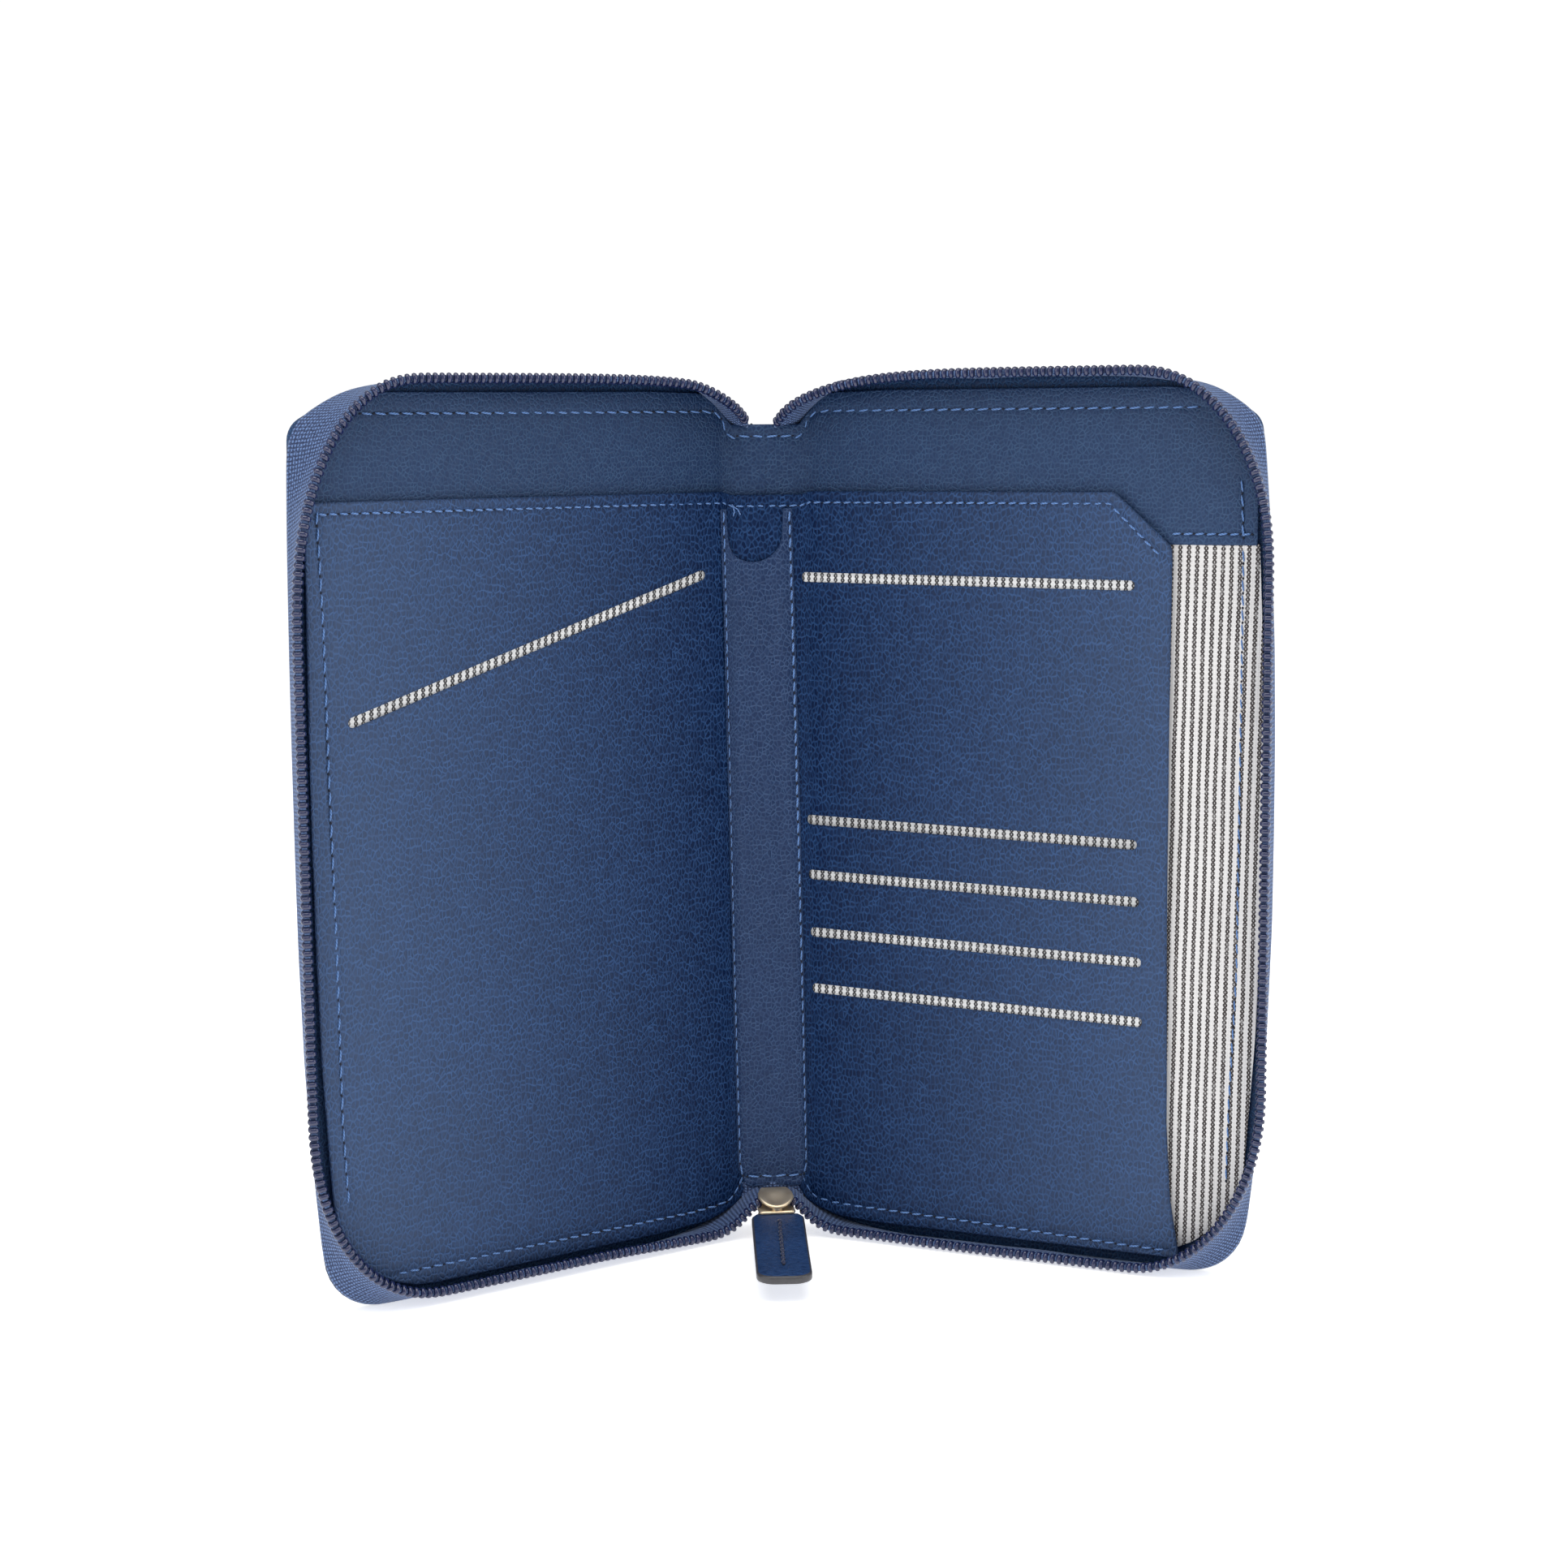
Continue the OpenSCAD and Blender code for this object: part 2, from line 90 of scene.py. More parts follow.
# Card slots, each from its end at the spine to its outer end, and the slanted slot
CARD_SLOTS = [((9.5, 174.5), (100.4, 173.7)), ((11.0, 110.8), (101.5, 108.9)),
              ((11.4, 96.2), (102.2, 94.4)), ((12.0, 80.8), (102.8, 79.0)),
              ((12.5, 65.7), (103.2, 63.7))]
SLANT_HIGH = (18.9, 175.9)
SLANT_LOW = (122.0, 144.2)

# The zipper's seam plane, which the slider's places are measured from
Y0 = 32.0

# Zipper: its line on each cover, with corners drawn as (width, height, roundness)
COIL_C = 10.65
# Height of the tape's sewn edge, just inside the outer leather's thickness
BASE_C = 0.9
COIL_EDGE = {-1: 126.6, 1: 124.5}
COIL_BOTTOM = {-1: 3.2, 1: 1.7}
COIL_TOP = {-1: (223.8, 225.5), 1: (223.5, 226.3)}
# ... and its ends beside the spine at the top, as (s, z) on the cover, then as (x, y, z)
COIL_TAIL = {-1: [(20.4, 222.6), (15.8, 220.4), (12.4, 218.2)],
             1: [(19.1, 222.4), (14.1, 221.0), (10.5, 219.2)]}
COIL_TUCK = {-1: [(5.5, 29.5, 216.3), (4.7, 32.2, 214.8), (4.3, 34.4, 213.2)],
             1: [(3.9, 29.2, 217.2), (2.8, 32.0, 215.0), (2.3, 34.4, 213.2)]}
BOTTOM_CORNER = {-1: (34.0, 47.0, 2.1), 1: (33.0, 46.0, 1.95)}
TOP_CORNER = {-1: (33.0, 57.0, 2.1), 1: (32.0, 46.0, 2.0)}
TOOTH_PITCH = 1.85
LINE_STEP = 0.6
# The coil's way into the slider's mouth, as (x, height, distance before Y0), and the sewn
# edge's way beside it and beside the coil's tail, as (s, z)
MOUTH = [(3.3, 10.6, 7.9), (4.2, 10.6, 8.3), (5.2, 10.2, 8.7), (6.3, 9.2, 8.6), (7.4, 7.7, 8.5),
         (8.6, 5.9, 8.5), (10.2, 4.2, 8.6), (12.1, 2.9, 8.8)]
MOUTH_BASE = [(4.0, 11.7), (4.8, 11.6), (5.7, 11.2), (6.8, 9.8), (8.1, 7.9), (9.8, 6.3),
              (12.6, 4.7), (16.0, 3.4)]
TAIL_BASE = [(17.6, 223.4), (14.2, 220.5), (11.9, 217.6), (10.2, 215.2), (8.6, 213.6), (7.4, 212.4)]


# ---- Places ---------------------------------------------------------------------------

def smooth(t):
    t = np.clip(t, 0.0, 1.0)
    return t * t * (3 - 2 * t)


def on_spine(s, z, c):
    return np.stack([s, FOLD_Y - (c - FOLD_C), z], -1)


def on_cover(s, z, c):
    u = s - FOLD_X
    x = FOLD_X + u * math.cos(FOLD_ANGLE) - (c - FOLD_C) * math.sin(FOLD_ANGLE)
    y = FOLD_Y - u * math.sin(FOLD_ANGLE) - (c - FOLD_C) * math.cos(FOLD_ANGLE)
    return np.stack([x, y, z], -1)


def leather_place(side, lean=None):
    """Places (s, z, c) on the spine, round the fold and on a cover."""
    def place(s, z, c):
        s, z, c = np.broadcast_arrays(s, z, c)
        if lean:
            s = s + side * lean(z)
        w = smooth((s - BEND_START) / (BEND_END - BEND_START))[..., None]
        p = (1 - w) * on_spine(s, z, c) + w * on_cover(s, z, c)
        return p * np.array([side, 1, 1])
    return place


def sleeve_lean(z):
    """How far the sewn-down sleeve strays from the spine's centre line, in x."""
    return 0.1 - 4.0 * (z - 25.0) / 165.0


def flat_place(x, y, c):
    """Places (x, y, c) with c upwards, for the pieces of the slider and the pull."""
    x, y, c = np.broadcast_arrays(x, y, c)
    return np.stack([x, y, c], -1)


# ---- Outlines -------------------------------------------------------------------------

def outline(corners, step=2.0, arc_step=12.0):
    """Closed outline through (s, z, radius) corners, each rounded to its radius."""
    n = len(corners)
    points = []
    for i in range(n):
        p = np.array(corners[i][:2], float)
        r = corners[i][2]
        before = np.array(corners[i - 1][:2], float) - p
        after = np.array(corners[(i + 1) % n][:2], float) - p
        a, b = before / np.linalg.norm(before), after / np.linalg.norm(after)
        if r <= 0:
            points.append(p)
            continue
        half = math.acos(np.clip(a @ b, -1, 1)) / 2
        back = r / math.tan(half)
        centre = p + (a + b) / np.linalg.norm(a + b) * r / math.sin(half)
        start, end = p + a * back - centre, p + b * back - centre
        sweep = math.atan2(start[0] * end[1] - start[1] * end[0], start @ end)
        count = max(2, math.ceil(abs(math.degrees(sweep)) / arc_step))
        for k in range(count + 1):
            t = sweep * k / count
            turn = np.array([[math.cos(t), -math.sin(t)], [math.sin(t), math.cos(t)]])
            points.append(centre + turn @ start)
    dense = []
    for i, p in enumerate(points):
        q = points[(i + 1) % len(points)]
        count = max(1, math.ceil(np.linalg.norm(q - p) / step))
        dense += [p + (q - p) * k / count for k in range(count)]
    return np.array(dense)


def slot_outline(a, b, height):
    """Outline of a slot with round ends from a to b."""
    a, b = np.array(a, float), np.array(b, float)
    t = (b - a) / np.linalg.norm(b - a)
    n = np.array([-t[1], t[0]]) * height / 2
    r = height / 2 - 0.02
    return outline([(*(a - n), r), (*(b - n), r), (*(b + n), r), (*(a + n), r)], 2.0, 22.0)


def path_distance(points, path):
    """Distance from each point to an open polyline."""
    path = np.array(path, float)
    best = np.full(len(points), 1e9)
    for a, b in zip(path[:-1], path[1:]):
        d = b - a
        t = np.clip((points - a) @ d / (d @ d), 0, 1)
        best = np.minimum(best, np.linalg.norm(points - a - t[:, None] * d, axis=1))
    return best


def loop_distance(points, loop):
    return path_distance(points, np.vstack([loop, loop[:1]]))


def inside(points, loop):
    """Which points lie inside a closed loop."""
    x, y = points[:, 0], points[:, 1]
    hit = np.zeros(len(points), bool)
    for a, b in zip(loop, np.roll(loop, -1, 0)):
        if a[1] == b[1]:
            continue
        crosses = (a[1] > y) != (b[1] > y)
        at = a[0] + (y - a[1]) * (b[0] - a[0]) / (b[1] - a[1])
        hit ^= crosses & (x < at)
    return hit


def loop_normals(loop, outward):
    """Unit mitre normals of a loop, out of its area if outward, times their mitre length."""
    edge = np.roll(loop, -1, 0) - loop
    edge /= np.linalg.norm(edge, axis=1)[:, None]
    area = np.sum(loop[:, 0] * np.roll(loop[:, 1], -1) - np.roll(loop[:, 0], -1) * loop[:, 1])
    n = np.stack([edge[:, 1], -edge[:, 0]], 1) * np.sign(area) * (1 if outward else -1)
    mean = n + np.roll(n, 1, 0)
    return mean / np.maximum(0.35, np.sum(mean * n, 1))[:, None]


def box(x0, y0, x1, y1, r):
    """Corners of a rectangle, each with the radius r."""
    return [(x0, y0, r), (x1, y0, r), (x1, y1, r), (x0, y1, r)]


def arc_points(cx, cz, r, a0, a1, count=9):
    return [(cx + r * math.cos(math.radians(a)), cz + r * math.sin(math.radians(a)))
            for a in np.linspace(a0, a1, count)]


def polygon_area(loop):
    x, z = loop[:, 0], loop[:, 1]
    return abs(np.sum(x * np.roll(z, -1) - np.roll(x, -1) * z)) / 2


def unit(vectors):
    return vectors / np.linalg.norm(vectors, axis=1)[:, None]


def lengths(path):
    """The length along a path up to each of its points."""
    return np.concatenate([[0], np.cumsum(np.linalg.norm(np.diff(path, axis=0), axis=1))])


def between(at, along, values):
    """Rows of values, which stand at the lengths along, read off at other lengths."""
    return np.stack([np.interp(at, along, values[:, k]) for k in range(values.shape[1])], -1)


def shared_run(path, count):
    """Evenly shared points along an open path."""
    path = np.array(path, float)
    along = lengths(path)
    return between(np.linspace(0, along[-1], count), along, path)


def resample(path, step):
    """Points and unit tangents at even steps along an open path, and the lengths there."""
    total = lengths(np.array(path, float))[-1]
    count = max(2, int(round(total / step)) + 1)
    points = shared_run(path, count)
    return points, unit(np.gradient(points, axis=0)), np.linspace(0, total, count)


# ---- Meshes ---------------------------------------------------------------------------

def make_object(name, verts, faces, uvs=None, mats=(), face_mats=None, smooth_faces=True):
    """A mesh object from points in millimetres, with outward normals."""
    mesh = bpy.data.meshes.new(name)
    mesh.from_pydata((np.asarray(verts) * MM).tolist(), [], faces)
    for m in mats:
        mesh.materials.append(m)
    if face_mats is not None:
        mesh.polygons.foreach_set("material_index", np.asarray(face_mats, np.int32))
    mesh.polygons.foreach_set("use_smooth", [smooth_faces] * len(mesh.polygons))
    if uvs is not None:
        layer = mesh.uv_layers.new(name="UVMap")
        index = np.empty(len(mesh.loops), np.int32)
        mesh.loops.foreach_get("vertex_index", index)
        layer.data.foreach_set("uv", np.asarray(uvs, np.float32)[index].ravel())
    mesh.update()
    obj = bpy.data.objects.new(name, mesh)
    bpy.context.scene.collection.objects.link(obj)
    return obj


def fix_normals(obj):
    bm = bmesh.new()
    bm.from_mesh(obj.data)
    bmesh.ops.recalc_face_normals(bm, faces=bm.faces)
    bm.to_mesh(obj.data)
    bm.free()
    return obj


def strand_faces(rings, sides, start=0):
    """Faces of a closed strand whose rings of points follow each other from start."""
    last = start + (rings - 1) * sides
    walls = [(a + k, a + (k + 1) % sides, a + (k + 1) % sides + sides, a + k + sides)
             for a in range(start, last, sides) for k in range(sides)]
    return walls + [tuple(range(start, start + sides))[::-1], tuple(range(last, last + sides))]


def strand(name, line, a, b, sides, mat, uvs=None):
    """A closed strand along a line, with its half widths a and b as vectors at each point."""
    verts = np.stack([line + math.cos(w) * a + math.sin(w) * b
                      for w in (2 * math.pi * k / sides for k in range(sides))], 1)
    faces = strand_faces(len(line), sides)
    return fix_normals(make_object(name, verts.reshape(-1, 3), faces, uvs, [mat]))


def thick_piece(name, outer, place, c0, c1, mats, holes=(), spacing=2.4, rim=0.4,
                relief=None, supports=(), rim_mat=0, uv_turn=0.0, side=1):
    """A thick flat piece with rounded edges. place maps (s, z, c) to x, y, z.
    relief gives the front face's extra height, and supports are points that it needs.
    An edge along s = 0 is left open, because the piece's other half goes on there."""
    loops = [np.asarray(outer)] + [np.asarray(h) for h in holes]
    thickness = c1 - c0
    r = min(rim, thickness * 0.49)
    profile = [(r, 0.0), (0.3 * r, 0.3 * r / thickness), (0.0, r / thickness),
               (0.0, 1 - r / thickness), (0.3 * r, 1 - 0.3 * r / thickness), (r, 1.0)]
    normals = [loop_normals(p, i == 0) for i, p in enumerate(loops)]
    cuts = [np.abs(p[:, 0]) < 1e-6 for p in loops]
    for n, cut in zip(normals, cuts):
        n[cut, 0] = 0
        n[cut, 1] = np.where(np.abs(n[cut, 1]) > 0.3, np.sign(n[cut, 1]), 0)
    ring = [p - n * r for p, n in zip(loops, normals)]
    low, high = loops[0].min(0), loops[0].max(0)
    gx = np.arange(low[0] + spacing / 2, high[0], spacing)
    gz = np.arange(low[1] + spacing / 2, high[1], spacing * 0.87)
    grid = np.array([(x + (spacing / 2 if j % 2 else 0), z) for j, z in enumerate(gz) for x in gx])
    extra = np.vstack([np.zeros((0, 2)), *supports])
    if len(extra):
        taken, cells = (np.floor(p / (spacing * 0.6)).astype(int).tolist() for p in (extra, grid))
        taken = {tuple(k) for k in taken}
        grid = grid[[tuple(k) not in taken for k in cells]]
    fill = []
    for points, clear in ((grid, spacing * 0.45), (extra, 0.25)):
        keep = inside(points, ring[0])
        for i, p in enumerate(ring):
            keep &= loop_distance(points, p) > clear
            if i:
                keep &= ~inside(points, p)
        fill.append(points[keep])
    edges, first = [], 0
    for p in ring:
        n = len(p)
        edges += [(first + k, first + (k + 1) % n) for k in range(n)]
        first += n
    flat = np.vstack(ring + fill)
    out, _, tris, origin, _, _ = delaunay_2d_cdt([tuple(p) for p in flat], edges, [], 2, 1e-6)
    out = np.array([tuple(p) for p in out])
    where = {old: i for i, olds in enumerate(origin) for old in olds}
    # A hole has no points inside it, so a triangle whose corners are all on its ring fills it
    hole = np.zeros(len(out), int)
    first = len(ring[0])
    for i, p in enumerate(ring[1:], 1):
        hole[[where[first + k] for k in range(len(p))]] = i
        first += len(p)
    tris = np.array([t for t in tris if len(t) == 3])
    tris = tris[(hole[tris].min(1) == 0) | (hole[tris].min(1) != hole[tris].max(1))]
    raise_by = relief(out) if relief else np.zeros(len(out))
    n_in = len(out)
    verts = [place(out[:, 0], out[:, 1], np.full(n_in, c0)),
             place(out[:, 0], out[:, 1], c1 + raise_by)]
    uvs = [out, out]
    faces = [tuple(t[::-1]) for t in tris] + [tuple(t + n_in) for t in tris]
    face_mats = [0] * (2 * len(tris))
    total, first = 2 * n_in, 0
    for p, n, cut in zip(loops, normals, cuts):
        count = len(p)
        ids = [[where[first + k] for k in range(count)]]
        first += count
        top = raise_by[ids[0]]
        for inset, share in profile[1:-1]:
            q = p - n * inset
            verts.append(place(q[:, 0], q[:, 1], c0 + (thickness + top) * share))
            uvs.append(p + n * (1 - share) * thickness)
            ids.append(list(range(total, total + count)))
            total += count
        ids.append([i + n_in for i in ids[0]])
        walls = [k for k in range(count) if not (cut[k] and cut[(k + 1) % count])]
        for a, b in zip(ids[:-1], ids[1:]):
            faces += [(a[k], a[(k + 1) % count], b[(k + 1) % count], b[k]) for k in walls]
            face_mats += [rim_mat] * len(walls)
    uv = np.vstack(uvs) * MM * [side, 1]
    if uv_turn:
        c, s = math.cos(uv_turn), math.sin(uv_turn)
        uv = uv @ np.array([[c, s], [-s, c]])
    return fix_normals(make_object(name, np.vstack(verts), faces, uv, mats, face_mats))


def seam_supports(path, step=1.5, offsets=(-1.5, -0.8, -0.35, 0.0, 0.35, 0.8, 1.5)):
    """Points along a seam that let the leather dip under its stitches."""
    points, tangent, _ = resample(path, step)
    normal = np.stack([-tangent[:, 1], tangent[:, 0]], 1)
    return np.vstack([points + normal * k for k in offsets])


def groove(points, path, depth=0.28, width=0.75):
    return -depth * np.exp(-(path_distance(points, path) / width) ** 2)


def stitches(name, path, place, c, pitch, mats, height=-0.2, slant=0.12, r=0.27):
    """A row of separate stitches along a path on height c, with a near-black disc at each end as
    the painted shade of its needle hole.
    """
    points, tangent, at = resample(path, 0.25)
    count = int(at[-1] / pitch)
    rings, sides = 7, 8
    hole_long, hole_wide = 0.34, 0.27
    t = np.linspace(-0.5, 0.5, rings)[:, None]
    thin = np.sqrt(np.clip(1 - (2 * np.abs(t)) ** 4, 0.06, 1))
    arch = 0.2 * np.cos(math.pi * t) - 0.14
    angle = np.arange(sides) / sides * 2 * math.pi
    rng = np.random.default_rng(len(name) * 7 + count)
    verts, faces, uvs = [], [], []
    for i in range(count):
        here = (i + 0.5) * pitch
        mid, direction = between(here, at, points), between(here, at, tangent)
        direction /= np.linalg.norm(direction)
        across = np.array([-direction[1], direction[0]])
        length = pitch * (0.76 + 0.05 * rng.random())
        lean = slant * (0.8 + 0.4 * rng.random())
        aside = np.cos(angle) * r * thin + lean * length * t
        p = mid + (length * t)[..., None] * direction + aside[..., None] * across
        body = place(p[..., 0], p[..., 1],
                     c + height + arch + np.sin(angle) * r * 0.85 * thin + 0.08)
        # Needle hole: a flat near-black disc, painted shade where the hole is.
        hole = mid + direction * pitch * 0.5
        disc = (hole + np.outer(np.cos(angle) * hole_long, direction)
                + np.outer(np.sin(angle) * hole_wide, across))
        verts += [body.reshape(-1, 3)] + [place(disc[:, 0], disc[:, 1], c + height + h)
                                          for h in (-0.16, 0.03)]
        uvs += [(along, angle[k] * r * MM) for along in (here + length * t[:, 0]) * MM
                for k in range(sides)] + [(0, 0)] * (2 * sides)
        start = i * (rings + 2) * sides
        faces += strand_faces(rings, sides, start) + strand_faces(2, sides, start + rings * sides)
    face_mats = ([0] * ((rings - 1) * sides + 2) + [1] * (sides + 2)) * count
    return fix_normals(make_object(name, np.vstack(verts), faces, np.array(uvs), mats, face_mats))


# ---- Materials ------------------------------------------------------------------------

class Nodes:
    """A small helper that adds and links shader nodes."""

    def __init__(self, name):
        self.mat = bpy.data.materials.new(name)
        self.mat.use_nodes = True
        self.tree = self.mat.node_tree

    def add(self, kind, inputs=None, **values):
        node = self.tree.nodes.new("ShaderNode" + kind)
        for key, value in values.items():
            setattr(node, key, value)
        for key, value in (inputs or {}).items():
            self.put(node, key, value)
        return node

    def put(self, node, key, value):
        if isinstance(value, bpy.types.NodeSocket):
            self.tree.links.new(value, node.inputs[key])
        else:
            node.inputs[key].default_value = value

    def finish(self, **values):
        """Sets the shader's own inputs and gives the material."""
        for key, value in values.items():
            self.put(self.tree.nodes["Principled BSDF"], key.replace("_", " "), value)
        return self.mat

    def math(self, operation, *terms):
        return self.add("Math", dict(enumerate(terms)), operation=operation).outputs[0]

    def mix(self, factor, a, b, blend="MIX"):
        node = self.add("Mix", {0: factor, 6: a, 7: b}, data_type="RGBA", blend_type=blend)
        return node.outputs[2]

    def uv(self, scale=(1, 1, 1), turn=0.0):
        at = self.add("TexCoord").outputs["UV"]
        turned = {"Vector": at, "Scale": scale, "Rotation": (0, 0, turn)}
        return self.add("Mapping", turned).outputs[0]

    def solid(self):
        """The object's own coordinates, for a pattern that runs through it."""
        return self.add("TexCoord").outputs["Object"]

    def noise(self, scale, detail=2.0, at=None, **inputs):
        at = self.uv() if at is None else at
        values = {"Vector": at, "Scale": scale, "Detail": detail, **inputs}
        return self.add("TexNoise", values).outputs["Fac"]

    def wave(self, scale, axis, distortion, at=None, **inputs):
        at = self.uv() if at is None else at
        values = {"Vector": at, "Scale": scale, "Distortion": distortion, **inputs}
        return self.add("TexWave", values, wave_type="BANDS", bands_direction=axis).outputs["Fac"]

    def remap(self, value, low, high, to_low=0.0, to_high=1.0, curve="LINEAR"):
        ends = {"From Min": low, "From Max": high, "To Min": to_low, "To Max": to_high}
        return self.add("MapRange", {"Value": value, **ends}, interpolation_type=curve).outputs[0]

    def bump(self, height, strength, distance):
        links = {"Height": height, "Strength": strength, "Distance": distance}
        return self.add("Bump", links).outputs[0]


def grey(v):
    return (v, v, v, 1)


def leather(name, cell, valley, stretch, bump=0.6, pale=0.0, shine=0.2):
    """Pebbled leatherette: dark rounded cells with finely creased valleys, which are painted paler
    as a painted highlight on the pebbles' edges.
    It is also painted paler by pale towards the free edges, a painted sheen that leaves the leather
    darkest, as painted shade, near the spine."""
    m = Nodes(name)
    wobble = m.add("TexNoise", {"Vector": m.uv(), "Scale": 520.0}).outputs["Color"]
    shift = m.add("VectorMath", {0: wobble, "Scale": 0.0007}, operation="SCALE").outputs[0]
    at = m.add("VectorMath", {0: m.uv((1, 1 / stretch, 1)), 1: shift}, operation="ADD").outputs[0]
    spread = {"Vector": at, "Scale": 1000 / PEBBLE, "Randomness": 0.95}
    edge = m.add("TexVoronoi", spread, voronoi_dimensions="2D", feature="DISTANCE_TO_EDGE")
    centre = m.add("TexVoronoi", spread, voronoi_dimensions="2D", feature="F1")
    dome = m.remap(edge.outputs["Distance"], 0.02, 0.27, curve="SMOOTHSTEP")
    broad, fine = m.noise(26.0, 3.0), m.noise(4200.0)
    depth = m.remap(m.noise(330.0), 0.36, 0.62, 0.45)
    shown = m.math("SUBTRACT", 1.0, m.math("MULTIPLY", m.math("SUBTRACT", 1.0, dome), depth))
    per_cell = m.math("MULTIPLY_ADD", centre.outputs["Color"], 0.7, 0.3)
    fill = m.math("MULTIPLY", shown, m.math("SUBTRACT", 1.25, m.math("MULTIPLY", per_cell, 0.5)))
    tone = m.math("MULTIPLY", m.math("MULTIPLY_ADD", broad, 0.3, 0.85),
                  m.math("MULTIPLY_ADD", fine, 0.6, 0.7))
    # The paler valleys between the cells are a painted highlight.
    tinted = m.mix(1.0, m.mix(fill, valley, cell), tone, "MULTIPLY")
    # Painted sheen: the colour is made paler towards the free edges, so the leather near the spine
    # stays darker as painted shade.
    along = m.math("ABSOLUTE", m.add("SeparateXYZ", {"Vector": m.uv()}).outputs[0])
    with_painted_sheen = m.mix(m.remap(along, 0.015, 0.125, 0.0, pale), tinted, PAINTED_SHEEN, "ADD")
    return m.finish(Base_Color=with_painted_sheen, Roughness=m.math("MULTIPLY_ADD", broad, 0.22, 0.34),
                    Specular_IOR_Level=shine,
                    Normal=m.bump(m.math("MULTIPLY_ADD", fine, 0.08, shown), bump, 0.0004))


def thread_material(name, colour, dark):
    """Twisted polyester thread."""
    m = Nodes(name)
    ply = m.wave(620.0, "X", 0.6, m.uv(turn=0.9), Detail=1.0)
    return m.finish(Base_Color=m.mix(ply, dark, colour), Roughness=0.42, Sheen_Weight=0.3,
                    Normal=m.bump(ply, 0.6, 0.0001))


def mottled(name, dark, light, scale, detail, rough, vary=0.0, bump=0.0, depth=0.0002, shine=0.5):
    """A plain stuff, mottled all through, such as nylon, paint or board."""
    m = Nodes(name)
    patch = m.noise(scale, detail, m.solid())
    if bump:
        m.finish(Normal=m.bump(patch, bump, depth))
    return m.finish(Base_Color=m.mix(patch, dark, light), Specular_IOR_Level=shine,
                    Roughness=m.math("MULTIPLY_ADD", patch, vary, rough) if vary else rough)


def tape_material():
    """Woven polyester tape with light flecks, like fine denim."""
    m = Nodes("zipper_tape")
    warp, weft = (m.wave(scale, axis, 1.2, Detail=2.0, **{"Detail Scale": 3.0})
                  for scale, axis in ((330.0, "X"), (420.0, "Y")))
    over = m.math("MULTIPLY", warp, weft)
    fleck = m.noise(2600.0, at=m.uv((1, 0.6, 1)), Roughness=0.7)
    light = m.remap(m.math("ADD", m.math("MULTIPLY", over, 0.5), fleck), 0.5, 0.92)
    return m.finish(Base_Color=m.mix(light, (0.008, 0.02, 0.07, 1), (0.13, 0.22, 0.45, 1)),
                    Roughness=0.75, Sheen_Weight=0.35, Sheen_Roughness=0.4,
                    Sheen_Tint=(0.6, 0.72, 1.0, 1),
                    Normal=m.bump(m.math("MULTIPLY_ADD", fleck, 0.6, over), 0.6, 0.00016))


def ticking_material(name, stripe, ground, mark, link=0.0011, reach=0.00034):
    """Woven lining with dark stripes, each a chain of two crossing yarns."""
    m = Nodes(name)
    split = m.add("SeparateXYZ", {"Vector": m.uv()})
    across, along = split.outputs[0], split.outputs[1]
    across = m.math("MULTIPLY_ADD", m.noise(120.0, at=m.uv((1, 0.3, 1))), 0.0006, across)
    cell = m.math("SUBTRACT", m.math("FRACT", m.math("DIVIDE", across, stripe)), 0.5)
    off = m.math("MULTIPLY", cell, stripe)
    swing = m.math("MULTIPLY", m.math("SINE", m.math("MULTIPLY", along, math.pi / link)), reach)
    near = m.math("MINIMUM", *(m.math("ABSOLUTE", m.math(way, off, swing))
                               for way in ("SUBTRACT", "ADD")))
    yarn = m.math("MULTIPLY", m.remap(near, 0.00021, 0.0003, 1.0, 0.0),
                  m.remap(m.noise(900.0), 0.25, 0.5, 0.6))
    weave = m.math("MULTIPLY", m.wave(700.0, "Y", 0.8), m.wave(560.0, "X", 0.8))
    shade, dim = [tuple(k * v for v in ground[:3]) + (1,) for k in (0.86, 0.55)]
    cloth = m.mix(m.math("MULTIPLY", weave, 0.3), m.mix(m.noise(60.0, 4.0), shade, ground), dim)
    return m.finish(Base_Color=m.mix(m.math("MULTIPLY", yarn, 0.95), cloth, mark), Roughness=0.85,
                    Specular_IOR_Level=0.2,
                    Normal=m.bump(m.math("MULTIPLY_ADD", yarn, 0.8, weave), 0.5, 0.00015))


def gold_material():
    """Pale gold plating, dulled by handling, with fine tumbling marks."""
    m = Nodes("pale_gold")
    smear = m.noise(260.0, 4.0, m.solid())
    return m.finish(Base_Color=m.mix(smear, (0.95, 0.7, 0.4, 1), (1.0, 0.9, 0.7, 1)), Metallic=0.92,
                    Roughness=m.math("MULTIPLY_ADD", smear, 0.3, 0.28),
                    Normal=m.bump(m.noise(2400.0, 2.0, m.solid()), 0.12, 0.0001))


def smooth_leather(name, cell, valley):
    """Fine-grained leather with short creases across the strap."""
    m = Nodes(name)
    creases = m.noise(1450.0, 3.0, m.uv((0.5, 1, 1)), Roughness=0.65, Distortion=0.8)
    line = m.remap(creases, 0.36, 0.6)
    tone = m.math("MULTIPLY_ADD", m.noise(60.0), 0.7, 0.65)
    return m.finish(Base_Color=m.mix(1.0, m.mix(line, valley, cell), tone, "MULTIPLY"),
                    Roughness=m.math("MULTIPLY_ADD", line, 0.1, 0.42), Specular_IOR_Level=0.4,
                    Normal=m.bump(line, 0.5, 0.00014))
